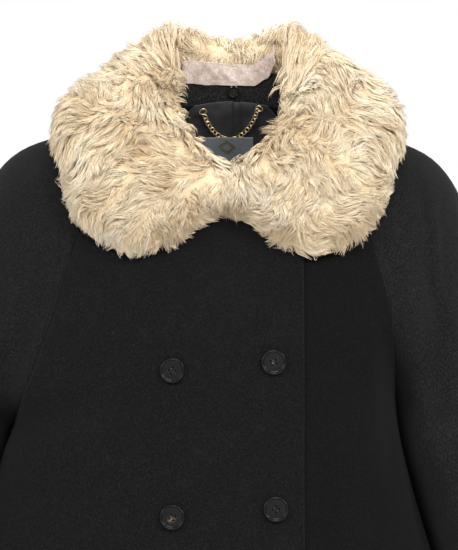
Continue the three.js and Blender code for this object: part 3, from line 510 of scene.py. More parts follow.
class Look:
    """A node material built up in a few lines."""

    def __init__(self, name, colour, roughness, **sockets):
        self.material = bpy.data.materials.new(name)
        self.material.use_nodes = True
        self.nodes, self.links = self.material.node_tree.nodes, self.material.node_tree.links
        self.shader = self.nodes["Principled BSDF"]
        self.set(self.shader, Base_Color=(*colour, 1), Roughness=roughness, **sockets)

    def put(self, value, socket):
        if isinstance(value, bpy.types.NodeSocket):
            self.links.new(value, socket)
        else:
            socket.default_value = value

    def set(self, node, **values):
        """Sets a node's inputs by their names, and its other settings."""
        for key, value in values.items():
            name = key.replace("_", " ")
            if name in node.inputs:
                self.put(value, node.inputs[name])
            else:
                setattr(node, key, value)

    def add(self, kind, *values, **named):
        """A new node. values are for its first inputs, in their order."""
        node = self.nodes.new("ShaderNode" + kind)
        for value, socket in zip(values, node.inputs):
            self.put(value, socket)
        self.set(node, **named)
        return node

    def place(self, scale=(1, 1, 1)):
        coordinates = self.add("TexCoord")
        return self.add("Mapping", Vector=coordinates.outputs["Object"], Scale=scale).outputs[0]

    def noise(self, scale, detail, roughness, stretch=(1, 1, 1), distortion=0.0):
        return self.add("TexNoise", Vector=self.place(stretch), Scale=scale, Detail=detail,
                        Roughness=roughness, Distortion=distortion).outputs["Fac"]

    def weave(self, scale, distortion, direction):
        return self.add("TexWave", Vector=self.place(), Scale=scale, Distortion=distortion,
                        bands_direction=direction).outputs["Fac"]

    def attribute(self, name, output="Fac"):
        return self.add("Attribute", attribute_name=name).outputs[output]

    def ramp(self, fac, *stops):
        node = self.add("ValToRGB", fac)
        elements = node.color_ramp.elements
        while len(elements) < len(stops):
            elements.new(0.5)
        for element, (position, colour) in zip(elements, stops):
            element.position = position
            element.color = (*colour, 1)
        return node.outputs["Color"]

    def math(self, operation, a, b):
        return self.add("Math", a, b, operation=operation).outputs[0]

    def plus(self, a, b, weight, centre=0.0):
        """a with b added, by its distance from a centre and times a weight."""
        return self.math("ADD", a, self.math("MULTIPLY", self.math("SUBTRACT", b, centre), weight))

    def vector(self, operation, *values):
        return self.add("VectorMath", *values, operation=operation).outputs[0]

    def spread(self, fac, low, high):
        """The usual range of a noise, 0.3 to 0.7, spread over another."""
        return self.add("MapRange", fac, 0.3, 0.7, low, high).outputs[0]

    def tinted(self, colour, tint):
        node = self.add("Mix", 1.0, data_type="RGBA", blend_type="MULTIPLY")
        self.put(colour, node.inputs[6])
        self.put(tint, node.inputs[7])
        return node.outputs[2]

    def bumped(self, height, strength, distance, **normal):
        return self.add("Bump", Strength=strength, Distance=distance, Height=height, **normal).outputs[0]

    def done(self, **sockets):
        """Links the shader's sockets and gives the material."""
        self.set(self.shader, **sockets)
        return self.material


def wool_look(name, painted_light_and_shade):
    look = Look(name, (0.008, 0.008, 0.0082), 0.92, Sheen_Weight=0.036, Sheen_Roughness=0.5,
                Sheen_Tint=(0.75, 0.76, 0.80, 1), Specular_IOR_Level=0.12)
    nap = look.noise(820, 4, 0.7, (1, 1, 0.55))
    fibre = look.noise(2300, 2, 0.6, (1, 1, 0.3))
    shade = look.plus(look.math("MULTIPLY", nap, 0.65), fibre, 0.35)
    tone = look.ramp(shade, (0.37, (0.0003, 0.0003, 0.0004)), (0.50, (0.0052, 0.0052, 0.0053)),
                     (0.64, (0.0205, 0.0205, 0.0208)))
    # Patches of random tone, times the panel's factor of painted light and shade.
    tone_patches_and_painted_light = look.ramp(look.noise(38, 3, 0.6), (0.35, (0.86 * painted_light_and_shade,) * 3), (0.65, (painted_light_and_shade,) * 3))
    return look.done(Base_Color=look.tinted(tone, tone_patches_and_painted_light), Roughness=look.spread(nap, 0.84, 0.97),
                     Normal=look.bumped(shade, 0.7, 0.0012))


def fur_look(name, streak_scale, strength, distance):
    look = Look(name, (0.7, 0.57, 0.38), 0.6, Sheen_Weight=0.12, Sheen_Roughness=0.4,
                Sheen_Tint=(1, 0.92, 0.80, 1), Specular_IOR_Level=0.2)
    streak, cloud = look.noise(streak_scale, 3, 0.6), look.noise(17, 3, 0.6)
    shade = look.plus(look.plus(look.attribute("tone"), streak, 0.22, 0.5), cloud, 1.15, 0.5)
    colour = look.ramp(shade, (0.0, (0.40, 0.25, 0.13)), (0.3, (0.60, 0.43, 0.25)),
                       (0.56, (0.79, 0.63, 0.42)), (0.85, (0.90, 0.77, 0.57)), (1.0, (0.95, 0.86, 0.71)))
    # The hair is shaded mostly as the surface that it lies on, which keeps it soft.
    lie = look.vector("SCALE", look.attribute("lie", "Vector"), (0, 0, 0), (0, 0, 0), 0.9)
    own = look.add("NewGeometry").outputs["Normal"]
    soft = look.vector("NORMALIZE", look.vector("ADD", own, lie))
    return look.done(Base_Color=colour, Normal=look.bumped(streak, strength, distance, Normal=soft))


def satin_look():
    look = Look("satin", (0.76, 0.62, 0.53), 0.38, Sheen_Weight=0.15, Sheen_Roughness=0.3,
                Specular_IOR_Level=0.5)
    crumple = look.noise(85, 5, 0.62)
    # The colour follows the same noise as the bump, painted darker where the crumple sinks and lighter where
    # it rises: painted shade and highlight of the crumples.
    colour = look.ramp(crumple, (0.28, (0.56, 0.42, 0.35)), (0.5, (0.74, 0.59, 0.51)),
                       (0.72, (0.88, 0.76, 0.67)))
    height = look.plus(crumple, look.weave(420.0, 1.2, "Z"), 0.05)
    return look.done(Base_Color=colour, Roughness=look.spread(crumple, 0.36, 0.55),
                     Normal=look.bumped(height, 1.0, 0.006))


def lining_look():
    look = Look("lining", (0.04, 0.04, 0.043), 0.5, Sheen_Weight=0.05, Specular_IOR_Level=0.3)
    cloud = look.noise(60, 3, 0.55)
    colour = look.ramp(cloud, (0.3, (0.030, 0.030, 0.033)), (0.7, (0.055, 0.055, 0.060)))
    height = look.plus(cloud, look.weave(380.0, 0.6, "DIAGONAL"), 0.08)
    return look.done(Base_Color=colour, Roughness=look.spread(cloud, 0.46, 0.6),
                     Normal=look.bumped(height, 0.4, 0.0012))


def label_look():
    look = Look("label", (0.24, 0.265, 0.29), 0.45, Specular_IOR_Level=0.5)
    cloud = look.noise(120, 3, 0.5)
    shade = look.plus(look.math("MULTIPLY", cloud, 0.6), look.weave(520.0, 0.3, "Z"), 0.4)
    colour = look.ramp(shade, (0.2, (0.21, 0.23, 0.245)), (0.8, (0.37, 0.40, 0.42)))
    return look.done(Base_Color=colour, Roughness=look.spread(cloud, 0.4, 0.55),
                     Normal=look.bumped(shade, 0.4, 0.0005))


def gold_look():
    look = Look("gold", (0.95, 0.75, 0.45), 0.24, Metallic=0.65, Specular_IOR_Level=1.0)
    wear = look.noise(260, 3, 0.6)
    colour = look.ramp(wear, (0.3, (0.92, 0.66, 0.34)), (0.6, (0.99, 0.79, 0.48)), (0.85, (1.0, 0.90, 0.68)))
    return look.done(Base_Color=colour, Roughness=look.spread(wear, 0.18, 0.32),
                     Normal=look.bumped(wear, 0.15, 0.0003))


def horn_look():
    look = Look("horn", (0.006, 0.005, 0.005), 0.5, Coat_Weight=0.32, Coat_Roughness=0.04,
                Specular_IOR_Level=0.08)
    streak, fine = look.noise(85, 3, 0.55, (1.0, 1.0, 0.5), 1.0), look.noise(420, 3, 0.6)
    shade = look.plus(streak, look.attribute("centre"), 0.22, 0.5)
    colour = look.ramp(shade, (0.40, (0.003, 0.003, 0.003)), (0.63, (0.007, 0.006, 0.0055)),
                       (0.67, (0.07, 0.052, 0.04)), (0.74, (0.28, 0.21, 0.155)))
    return look.done(Base_Color=colour, Roughness=look.spread(fine, 0.42, 0.6),
                     Normal=look.bumped(fine, 0.05, 0.0004))


def thread_look(name, dark, painted_light_and_shade):
    look = Look(name, painted_light_and_shade, 0.7, Sheen_Weight=0.1)
    ply = look.noise(1400, 2, 0.5)
    return look.done(Base_Color=look.ramp(ply, (0.3, dark), (0.7, painted_light_and_shade)),
                     Normal=look.bumped(ply, 0.5, 0.0004))


def floor_look():
    look = Look("floor", (0.86, 0.86, 0.85), 0.7)
    cloud = look.noise(3, 2, 0.5)
    return look.done(Base_Color=look.ramp(cloud, (0.3, (0.84, 0.84, 0.83)), (0.7, (0.88, 0.88, 0.87))))


# Each panel's wool is painted lighter or darker for how the light falls on it: painted light on the sleeves,
# the left more than the right, painted shade on the under front beside the overlap edge and the raglan seam,
# and the neck band painted much lighter against the shade inside the neck.
WOOL_LOOKS = {panel: wool_look("wool_" + nap, painted_light_and_shade) for panel, nap, painted_light_and_shade in (
    ("front_right", "front", 0.64), ("front_left", "under", 0.40), ("back", "back", 0.64),
    ("sleeve_right", "sleeve_right", 0.94), ("sleeve_left", "sleeve_left", 1.18), ("neck_band", "band", 2.2))}
SATIN_LOOK, LINING_LOOK = satin_look(), lining_look()
FUR_LOOK, UNDERCOAT_LOOK = fur_look("fur", 700, 0.3, 0.0004), fur_look("undercoat", 330, 1.0, 0.003)
LABEL_LOOK, GOLD_LOOK, HORN_LOOK = label_look(), gold_look(), horn_look()
BLACK_THREAD = thread_look("black_thread", (0.006, 0.006, 0.006), (0.02, 0.02, 0.021))
DULL_THREAD = thread_look("dull_gold_thread", (0.10, 0.09, 0.05), (0.30, 0.26, 0.15))
PALE_THREAD = thread_look("pale_thread", (0.34, 0.31, 0.29), (0.62, 0.58, 0.55))

# ---------------------------------------------------------------- cloth panels

ROW_STEP = 11.0  # about one row of the fine grids every so many millimetres
HALF_COLUMNS, EDGE_COLUMNS, SLEEVE_COLUMNS = 57, 23, 101
EDGE_ROLL = dict(height=0.9, inset=2.4, width=1.9)
SLEEVE_MIDDLE = 230.0


def fine_rows(last):
    drop = np.abs(np.diff((RINGS["z_front"] + RINGS["z_left"]) / 2))
    rows = [0.0]
    for i in range(last):
        count = max(4, int(round(drop[i] / ROW_STEP)))
        rows += list(i + np.arange(1, count + 1) / count)
    return np.array(rows)[:, None]


def outwards(grid, normals, middle=(0.0, 0.0)):
    """The normals, turned away from a middle in x and y if they look towards it."""
    i, j = grid.shape[0] // 2, grid.shape[1] // 2
    away = grid[i, j, :2] - np.asarray(middle)
    return normals if normals[i, j, :2] @ away > 0 else -normals


BODY, SLEEVE = fine_rows(HEM_ROW), fine_rows(CUFF_ROW)
ONE = np.linspace(0, 1, HALF_COLUMNS)[None, :]
EDGE = 1 - (1 - np.linspace(0, 1, EDGE_COLUMNS)[None, :]) ** 1.6  # finer towards the free edge


def across_body(face, right, left):
    """A panel from the wearer's right to the left, by how far its columns lie from the middle line."""
    return np.concatenate([body_point(BODY, -1, face, right), body_point(BODY, 1, face, left[:, 1:])], axis=1)


left_edge = across_at(BODY, -1, overlap_edge(BODY, OVERLAP_LEFT))
right_edge = across_at(BODY, 1, overlap_edge(BODY, OVERLAP_RIGHT))
seat = across_body(-1, ONE[:, ::-1], right_edge * EDGE)
from_edge = np.abs(seat[:, -1:, 0] - seat[..., 0])
rolled = EDGE_ROLL["height"] * np.exp(-(((from_edge - EDGE_ROLL["inset"]) / EDGE_ROLL["width"]) ** 2))
seat_lift = (lay(seat[..., 0], BODY) + rolled)[..., None]
around = np.linspace(0, 1, SLEEVE_COLUMNS)[None, :]

CLOTH = {
    "front_right": dict(grid=creased(seat + outwards(seat, grid_normals(seat)) * seat_lift),
                        flat=(0.48, 0.70), area=0.263, seams=((1, -1),)),
    "front_left": dict(grid=creased(across_body(-1, left_edge * EDGE[:, ::-1], ONE)),
                       flat=(0.46, 0.70), area=0.251, seams=((-1, 1),)),
    "back": dict(grid=creased(across_body(1, ONE[:, ::-1], ONE)),
                 flat=(0.68, 0.77), area=0.414, seams=((1, -1), (-1, 1))),
}
for side, name in ((-1, "sleeve_right"), (1, "sleeve_left")):
    CLOTH[name] = dict(grid=creased(sleeve_point(SLEEVE, side, around)), flat=(0.44, 0.61), area=0.22,
                       middle=(side * SLEEVE_MIDDLE, 0.0), seams=((1, side), (-1, side)))

for name, cloth in CLOTH.items():
    normals = outwards(cloth["grid"], grid_normals(cloth["grid"]), cloth.get("middle", (0.0, 0.0)))
    rows = SLEEVE if "sleeve" in name else BODY
    grid = grooved(cloth["grid"], normals, rows, *cloth["seams"])
    piece = sheet_mesh("cloth_" + name, grid, normals, WOOL, gap=-SEAM_GAP)
    finish_piece(piece, WOOL_LOOKS[name], "wool", name)

# ---------------------------------------------------------------- neck


def neck_point(side, turn):
    return outline(ring_at(np.zeros_like(turn), side), turn)


def outward_at(points):
    """The level direction away from the middle of the neck."""
    flat = points - np.array([RINGS["mid"][0], 0, 0])
    flat[..., 2] = 0
    return unit(flat)


def band_height(side, turn):
    return at_angle(BAND, "left" if side < 0 else "right", turn)


def band_point(side, turn, up):
    """A point of the neck band's outer face, which leans inwards as it rises."""
    foot = neck_point(side, turn)
    return foot - outward_at(foot) * (BAND_LEAN * up + BAND_INSET)[..., None] + point(0, 0, up + SEAM_GAP)


band_share = np.linspace(0, 1, 9)[:, None]
band_halves = []
for side, turns in ((-1, np.linspace(BAND_START, 180, 91)), (1, np.linspace(180, BAND_START, 91)[1:])):
    turns = turns + 0 * band_share
    band_halves.append(band_point(side, turns, mix(-BAND_TUCK, band_height(side, turns), band_share)))
band_grid = np.concatenate(band_halves, axis=1)
band = sheet_mesh("neck_band_cloth", band_grid, outward_at(band_grid), WOOL, gap=0.0)
finish_piece(band, WOOL_LOOKS["neck_band"], "wool", "neck_band")

# The lining of the upper back, with a seam down its centre and a small pleat beside it.
LINING_ROWS = np.linspace(0, LINING_BOTTOM, 25)[:, None]
LINING_SEAM_X, LINING_SEAM_DEPTH, LINING_PLEAT_X, LINING_PLEAT, LINING_PUFF = 4.5, 0.4, 13.0, 1.8, 0.8
LINING_RISE = (2.4, 1.4)  # how far its first rows rise into the neck band
lining_share = np.linspace(0, LINING_ACROSS, 69)[None, :]
lining_back = np.concatenate([body_point(LINING_ROWS, -1, 1, lining_share[:, ::-1]),
                              body_point(LINING_ROWS, 1, 1, lining_share[:, 1:])], axis=1)
lining_normals = outwards(lining_back, grid_normals(lining_back))
x = lining_back[..., 0]
groove = 1.4 * np.exp(-((x - LINING_SEAM_X) / 1.1) ** 2)
pleat = LINING_PLEAT * smooth((x - LINING_SEAM_X - 0.4) / 1.4) * smooth((LINING_PLEAT_X - x) / 1.2 + 0.5)
puff = LINING_PUFF * np.sin(x / 13.0 + LINING_ROWS * 2.3) * np.sin(LINING_ROWS * 5.1 + x / 29.0)
lining_lift = np.maximum(pleat + np.maximum(puff, 0) - groove, -LINING_SEAM_DEPTH)
lining_grid = lining_back - lining_normals * (WOOL + LAY_GAP + lining_lift)[..., None]
lining_grid[:len(LINING_RISE), :, 2] += np.array(LINING_RISE)[:, None]
lining = sheet_mesh("neck_lining_cloth", lining_grid, lining_normals, SATIN)
finish_piece(lining, LINING_LOOK, "lining", "neck_lining")


def lining_point(row, x, distance):
    """The face of the lining at a given x and row of the back, lifted off it by a distance."""
    row, x = np.broadcast_arrays(np.asarray(row, float), np.asarray(x, float))
    found = point_at_x(row, x, 1)
    down = point_at_x(row + 0.05, x, 1) - point_at_x(row - 0.05, x, 1)
    across = point_at_x(row, x + 2, 1) - point_at_x(row, x - 2, 1)
    normal = normal_towards(down, across, BACKWARDS)
    return found - normal * (WOOL + LAY_GAP + SATIN + np.asarray(distance))[..., None]


def lining_row(z, x, lift):
    return solve(0.0, 3.0, z, lambda value: lining_point(value, x, lift)[..., 2])


# The label stands away from the lining at its top, where the chain passes behind it.
label_rows = np.linspace(0, 1, 21)[:, None]
label_x = np.linspace(LABEL["left"], LABEL["right"], 31)[None, :]
label_stand = LAY_GAP + LABEL["stand"] * (1 - label_rows) ** 0.7
label_stand = label_stand + 0.25 * np.sin(label_x / 6.0 + 3 * label_rows) * (1 - label_rows)
label_grid = lining_point(mix(LABEL["top"], LABEL["bottom"], label_rows) + 0 * label_x,
                          label_x + 0 * label_rows, label_stand)
label_normals = -outwards(label_grid, grid_normals(label_grid))
LABEL_THICK = SATIN / 2
label_face = label_grid + label_normals * LABEL_THICK
label = sheet_mesh("label_cloth", label_face, label_normals, LABEL_THICK, gap=0.0)
finish_piece(label, LABEL_LOOK, "label", "label")


def label_point(u, v, lift):
    """A point off the label's face: u across it and v down it, both from 0 to 1."""
    rows, columns = label_grid.shape[:2]
    v, u = v * (rows - 1), u * (columns - 1)
    normal = label_normals[v.astype(int), u.astype(int)]
    return sample(label_grid, v, u) + normal * (LABEL_THICK + lift)


# A plain lozenge of short stitches on the label, as shares of its width and height.
LOZENGE = dict(across=0.5, down=0.27, sizes=(0.16, 0.11), stretch=1.15, stitches=9)
STITCH = dict(half=0.016, slope=0.2, lift=0.15, radius=0.42)
stitches = []
for ring_size in LOZENGE["sizes"]:
    for corner in range(4):
        start, stop = corner * math.pi / 2, (corner + 1) * math.pi / 2
        for share in (np.arange(LOZENGE["stitches"]) + 0.5) / LOZENGE["stitches"]:
            ends = np.array([-1, 1]) * STITCH["half"]
            u = LOZENGE["across"] + ring_size * mix(math.cos(start), math.cos(stop), share) + ends
            down = ring_size * LOZENGE["stretch"] * mix(math.sin(start), math.sin(stop), share)
            v = LOZENGE["down"] + down + ends * STITCH["slope"]
            stitches.append(tube_arrays(label_point(u, v, STITCH["lift"]), STITCH["radius"], 5))
lozenge = new_object("label_lozenge", *joined(stitches))
finish_piece(lozenge, DULL_THREAD, "label")

# ---------------------------------------------------------------- hang chain


def chain_point(share):
    """A point of the chain's sagging line, off the lining."""
    x = mix(CHAIN_FROM[0], CHAIN_TO[0], share)
    z = mix(CHAIN_FROM[1], CHAIN_TO[1], share) - CHAIN_SAG * (4 * share * (1 - share)) ** 0.85
    return lining_point(lining_row(z, x, CHAIN_LIFT), x, CHAIN_LIFT)


chain_line = chain_point(np.linspace(0, 1, 121))
chain_length = np.concatenate([[0], np.cumsum(np.linalg.norm(np.diff(chain_line, axis=0), axis=1))])
LINKS, LINK_HALF, LINK_WIDE, LINK_WIRE, LINK_TIP, CHAIN_END = 21, 2.5, 2.1, 0.64, 22, 1.2
CHAIN_FACES = np.array([0, -1.0, 0.25])


def along_chain(distance):
    return np.array([np.interp(distance, chain_length, chain_line[:, axis]) for axis in range(3)])


links = []
for k, distance in enumerate(np.linspace(CHAIN_END, chain_length[-1] - CHAIN_END, LINKS)):
    centre = along_chain(distance)
    along = unit(along_chain(distance + 1) - centre) if k < LINKS - 1 else along
    flat = unit(np.cross(along, CHAIN_FACES))
    tip = math.radians(LINK_TIP if k % 2 else -LINK_TIP)
    wide = flat * math.cos(tip) + np.cross(flat, along) * math.sin(tip)
    oval = round_path(centre, LINK_HALF * along, LINK_WIDE * wide, 20)
    links.append(tube_arrays(oval, LINK_WIRE, 6, closed=True))
chain = new_object("hang_chain_links", *joined(links))
finish_piece(chain, GOLD_LOOK, "gold", "hang_chain")

RING_RADIUS, RING_WIRE = 3.6, 0.62
for side, (ring_x, ring_z) in CHAIN_RINGS.items():
    x, z = np.array([ring_x]), np.array([ring_z])
    row = lining_row(z, x, CHAIN_LIFT)
    centre = lining_point(row, x, CHAIN_LIFT)[0]
    facing = unit(centre - lining_point(row, x, 0.0)[0])
    first = unit(np.cross(facing, np.array([1.0, 0, 0])))
    hoop = round_path(centre, RING_RADIUS * first, RING_RADIUS * np.cross(facing, first), 32)
    ring = new_object("hang_ring_" + side, *tube_arrays(hoop, RING_WIRE, 8, closed=True))
    finish_piece(ring, GOLD_LOOK, "gold", "chain_ring_" + side)

# ---------------------------------------------------------------- satin stand of the fur collar


# The stand's folded end, by an angle from the back, and its stitched hems, as shares of its height.
TURNED_END = dict(angle=33, slant=5, width=1.6, height=2.4)
STAND_HEMS, HEM_WIDTH, HEM_DEPTH, STAND_CRUMPLE = (0.08, 0.93), 0.035, 0.5, 1.5
HEM_STITCHES = dict(shares=(0.07, 0.94), start=0.8, stop=1.4, pitch=1.5, length=1.0, lift=0.28, radius=0.22)


def stand_point(angle, share, depth):
    """A point of the stand at an angle from the back and a share of its height, inside the neck band."""
    turn = 180 - np.abs(angle)
    up = mix(at_angle(STAND, "bottom", angle), at_angle(STAND, "top", angle), share)
    inside = at_angle(STAND, "inside", angle)
    left, right = band_point(-1, turn, up), band_point(1, turn, up)
    found = np.where((angle < 0)[..., None], left, right)
    return found - outward_at(found) * (WOOL + inside + depth)[..., None]


stand_start, stand_stop = STAND["angle"][[0, -1]]
stand_angle = np.linspace(stand_start, stand_stop, 121)[None, :]
stand_share = np.linspace(0, 1, 17)[:, None]
angle_grid, share_grid = np.broadcast_arrays(stand_angle, stand_share)
crumple = (0.5 * np.sin(angle_grid / 2.3 + 4 * share_grid) + 0.3 * np.sin(angle_grid / 0.9 - 7 * share_grid)
           + 0.8 * np.abs(np.sin(angle_grid / 4.1 + 5 * share_grid)) * np.sin(share_grid * 5 + angle_grid / 9)
           ) * np.sin(share_grid * math.pi)
from_end = angle_grid - TURNED_END["angle"] - TURNED_END["slant"] * share_grid
turned_end = TURNED_END["height"] * np.exp(-((from_end / TURNED_END["width"]) ** 2)) * smooth(share_grid * 3)
hemmed = sum(HEM_DEPTH * np.exp(-((share_grid - hem) / HEM_WIDTH) ** 2) for hem in STAND_HEMS)
stand_depth = np.maximum(0, 0.7 + STAND_CRUMPLE * crumple - hemmed) + turned_end
stand_grid = stand_point(angle_grid, share_grid, stand_depth)
stand = sheet_mesh("collar_stand_satin", stand_grid, outward_at(stand_grid), SATIN, gap=0.0)
finish_piece(stand, SATIN_LOOK, "satin", "collar_stand")

edge_stitches = []
for share in HEM_STITCHES["shares"]:
    for start in np.arange(stand_start + HEM_STITCHES["start"], stand_stop - HEM_STITCHES["stop"],
                           HEM_STITCHES["pitch"]):
        run = start + HEM_STITCHES["length"] * np.array([0, 0.5, 1])
        path = stand_point(run, np.full(3, share), np.full(3, SATIN + HEM_STITCHES["lift"]))
        edge_stitches.append(tube_arrays(path, HEM_STITCHES["radius"], 5))
finish_piece(new_object("collar_stand_stitches", *joined(edge_stitches)), PALE_THREAD, "satin")

# ---------------------------------------------------------------- fur collar


def coat_point(row, side, turn, distance):
    """A point at a distance off the coat's upper part, where body and sleeves are one surface."""
    def at(r, t):
        return folded(outline(ring_at(r, side), t))

    found = at(row, turn)
    down = at(row + 0.05, turn) - found
    sideways = at(row, np.minimum(turn + 0.5, 180)) - at(row, np.maximum(turn - 0.5, 0))
    normal = normal_towards(down, sideways, found * np.array([1, 1, 0]) + np.array([0, 0, 60]))
    lift = distance + np.where(turn < 90, lay(found[..., 0], row), 0)
    return found + normal * lift[..., None]


def spline(points, count):
    """A centripetal curve through control points, each of which may be an array of points."""
    last = len(points) - 1
    result = []
    for place in np.linspace(0, last, count):
        i = min(int(place), last - 1)
        t = place - i
        b, c = points[i], points[i + 1]
        a = points[i - 1] if i > 0 else 2 * b - c
        d = points[i + 2] if i + 2 <= last else 2 * c - b
        d0, d1, d2 = (np.maximum(((q - p) ** 2).sum(-1, keepdims=True), 1e-8) ** 0.25
                      for p, q in ((a, b), (b, c), (c, d)))
        start = ((b - a) / d0 - (c - a) / (d0 + d1) + (c - b) / d1) * d1
        stop = ((c - b) / d1 - (d - b) / (d1 + d2) + (d - c) / d2) * d1
        result.append(b + t * (start + t * (-3 * b + 3 * c - 2 * start - stop
                                            + t * (2 * b - 2 * c + start + stop))))
    return result


def fur_section(side, turn, retreat=0.0):
    """The collar's underside from the neck to its edge, and its top back to the neck, at an array of turns.

    retreat draws the edge back by so many rows of the coat.
    """
    read = {column: at_angle(FUR, column, turn) for column in FUR_COLUMNS[1:]}
    neck = neck_point(side, turn)
    out = outward_at(neck)
    over = band_height(side, turn)
    reach = read["reach"] - retreat

    def from_neck(out_by, up):
        return neck + out * np.asarray(out_by)[..., None] + point(0 * turn, 0, up)

    foot = 1.2 + np.where(turn < 90, lay(neck[..., 0], 0 * turn), 0)
    under_rows = np.linspace(0.12, reach * 0.95, UNDER_STEPS)
    underside = [coat_point(row, side, turn, FUR_SEAT) for row in under_rows]
    top = spline([
        coat_point(reach, side, turn, read["edge"] * 0.35),
        coat_point(reach * 0.88, side, turn, read["edge"]),
        coat_point(reach * 0.5, side, turn, read["body"]),
        from_neck(read["crest_out"], read["crest_up"]),
        from_neck(-read["throat_in"], np.maximum(read["throat_up"], over + 8)),
        from_neck(-np.minimum(read["throat_in"], 2), over + 2.5),
        from_neck(foot, over + 0.5)], TOP_STEPS)
    skirt = [coat_point(reach + ahead, side, turn, mix(2.5, read["edge"] * 0.35, 1 - ahead / SKIRT))
             for ahead in np.linspace(SKIRT, SKIRT / SKIRT_STEPS, SKIRT_STEPS)]
    return np.stack(underside), np.stack(top), from_neck(foot, 2 + 0 * turn)[None], np.stack(skirt)


UNDER_STEPS, TOP_STEPS, SKIRT_STEPS = 9, 61, 3
SKIRT = 0.1  # how far the tips of the edge's hair lie on the coat, in rows of the coat
TURNS = np.linspace(0, 180, 91)


def collar_grid(retreat=0.0):
    """Whole sections from the neck down, out and back, and the hair's own surface with its skirt."""
    wholes, tops = [], []
    for side in (-1, 1):
        under, top, foot, skirt = fur_section(side, TURNS, retreat)
        whole = np.concatenate([under, top, foot])
        near = np.abs(whole[:, 0, 0] - PARTING_X) < 4
        whole[near, 0, 0] = PARTING_X + side * FUR_PARTING
        surface = np.concatenate([skirt, top])
        wholes.append(whole if side < 0 else whole[:, -2::-1])
        tops.append(surface if side < 0 else surface[:, -2::-1])
    return np.concatenate(wholes, axis=1), np.concatenate(tops, axis=1)


def away_normals(grid):
    """The normals of a collar grid, turned so that its outer rows look away from their middle."""
    normals = unit(np.cross(np.gradient(grid, axis=1), np.gradient(grid, axis=0)))
    flow = (normals[PROBE_ROW] * (grid[PROBE_ROW] - grid[PROBE_ROW].mean(axis=0))).sum()
    return normals if flow > 0 else -normals


PROBE_ROW = 12
# The undercoat lies deeper than the collar's outer form, which the tips of the locks reach.
UNDERCOAT_DEPTH, UNDERCOAT_RETREAT, UNDERCOAT_TONE = 5.0, 0.16, 0.5
PARTING_FADE, LUMPS = 0.012, 0.22
collar, _ = collar_grid(UNDERCOAT_RETREAT)
top = collar[UNDER_STEPS:UNDER_STEPS + TOP_STEPS]
v_share = np.linspace(0, 1, TOP_STEPS)[:, None]
around_share = np.linspace(0, 1, collar.shape[1])[None, :]
depth = UNDERCOAT_DEPTH * smooth(v_share / 0.06) * smooth((1 - v_share) / 0.12)
depth = depth * (0.3 + 0.7 * smooth(around_share / PARTING_FADE) * smooth((1 - around_share) / PARTING_FADE))
lumps = (np.sin(around_share * 97 + 3 * np.sin(v_share * 23))
         * np.sin(v_share * 31 + 2 * np.sin(around_share * 41))
         + 0.7 * np.sin(around_share * 211 + 5 * v_share) * np.sin(v_share * 57 + 9 * around_share))
top -= away_normals(top) * (depth * (1 + LUMPS * lumps))[..., None]
size, sections = collar.shape[:2]
index = np.arange(size * sections).reshape(size, sections)
ahead = np.roll(index, -1, 0)
quads = np.stack([index[:, :-1], ahead[:, :-1], ahead[:, 1:], index[:, 1:]], -1).reshape(-1, 4)
vertices = collar.reshape(-1, 3)
outside = facing_out(vertices, quads)
turned = not np.array_equal(outside, quads)
# The two ends at the front parting are closed by strips of triangles between the underside and the top.
caps = []
for section in (0, sections - 1):
    low, high, split = 0, size - 1, UNDER_STEPS - 1
    while high - low > 1:
        on_low = low < split and low / split <= (size - 1 - high) / (size - 1 - split)
        third = low + 1 if on_low else high - 1
        cap = [index[low, section], index[third, section], index[high, section]]
        low, high = (third, high) if on_low else (low, third)
        caps.append(cap if (section == 0) == turned else cap[::-1])
undercoat = new_object("fur_undercoat", vertices, [list(face) for face in outside] + caps,
                       attributes={"tone": np.full(len(vertices), UNDERCOAT_TONE)})
finish_piece(undercoat, UNDERCOAT_LOOK, "fur", "fur_collar")

# How far the hair of the collar's front edge hangs lower, by x.
FUR_DROOP = ((-112, 0), (-94, -4), (-78, 0), (-58, 8), (-38, 0), (40, 0), (56, 5), (72, -4), (88, -8),
             (104, -2), (124, 5), (140, 0))
# Locks are bundles of tapered hairs that follow the surface and draw together at their tips. Of four kinds,
# the first lies all over the collar, the second points over its outer edge, the third stands a little over
# the neck's opening, and the tips of the fourth cross the front parting.
LOCKS, EDGE_LOCKS, THROAT_LOCKS, PARTING_LOCKS = LOCK_KINDS = (3160, 860, 640, 110)
FIELD_SHARE = (1.0, 0.4, 0.75, 0.5)  # how far each kind takes the field's turns
TIP_LIFT = ((4.0, 9.0), (1.0, 6.0), (5.5, 11.0), (5.0, 8.0))
ROOT_LIFT = (0.0, 0.0, 1.5, 1.5)
LOCK_LENGTH, EDGE_LENGTH = (15, 27), (12, 23)
EDGE_BAND, PARTING_BAND = (0.2, 7.5), (0, 1.6)  # in rows and in columns of the surface
PARTING_LEAN, FRONT_LEAN, SIDE_LEAN = (3, 9), (-19, 7), (-4, 9)
HEADING_SPREAD, LOCK_TONES, HAIR_TONES = 0.17, 0.06, 0.04
SURFACE_RETREAT, FRINGE_ROWS, TIP_LIMIT, PAST_MOST, LEAST_CELL = 0.09, 9, 2.6, 4, 0.4
SEGMENTS, HAIRS, PIECES = 3, 10, 5

random = np.random.default_rng(7)
_, surface = collar_grid(SURFACE_RETREAT)
surface_normals = away_normals(surface)
tangent_v, tangent_u = np.gradient(surface, axis=0), np.gradient(surface, axis=1)
length_v, length_u = np.linalg.norm(tangent_v, axis=-1), np.linalg.norm(tangent_u, axis=-1)
rows_v, rows_u = surface.shape[:2]
CREST_V = SKIRT_STEPS + 0.62 * (TOP_STEPS - 1)  # where the hair parts: out below it, inwards above it


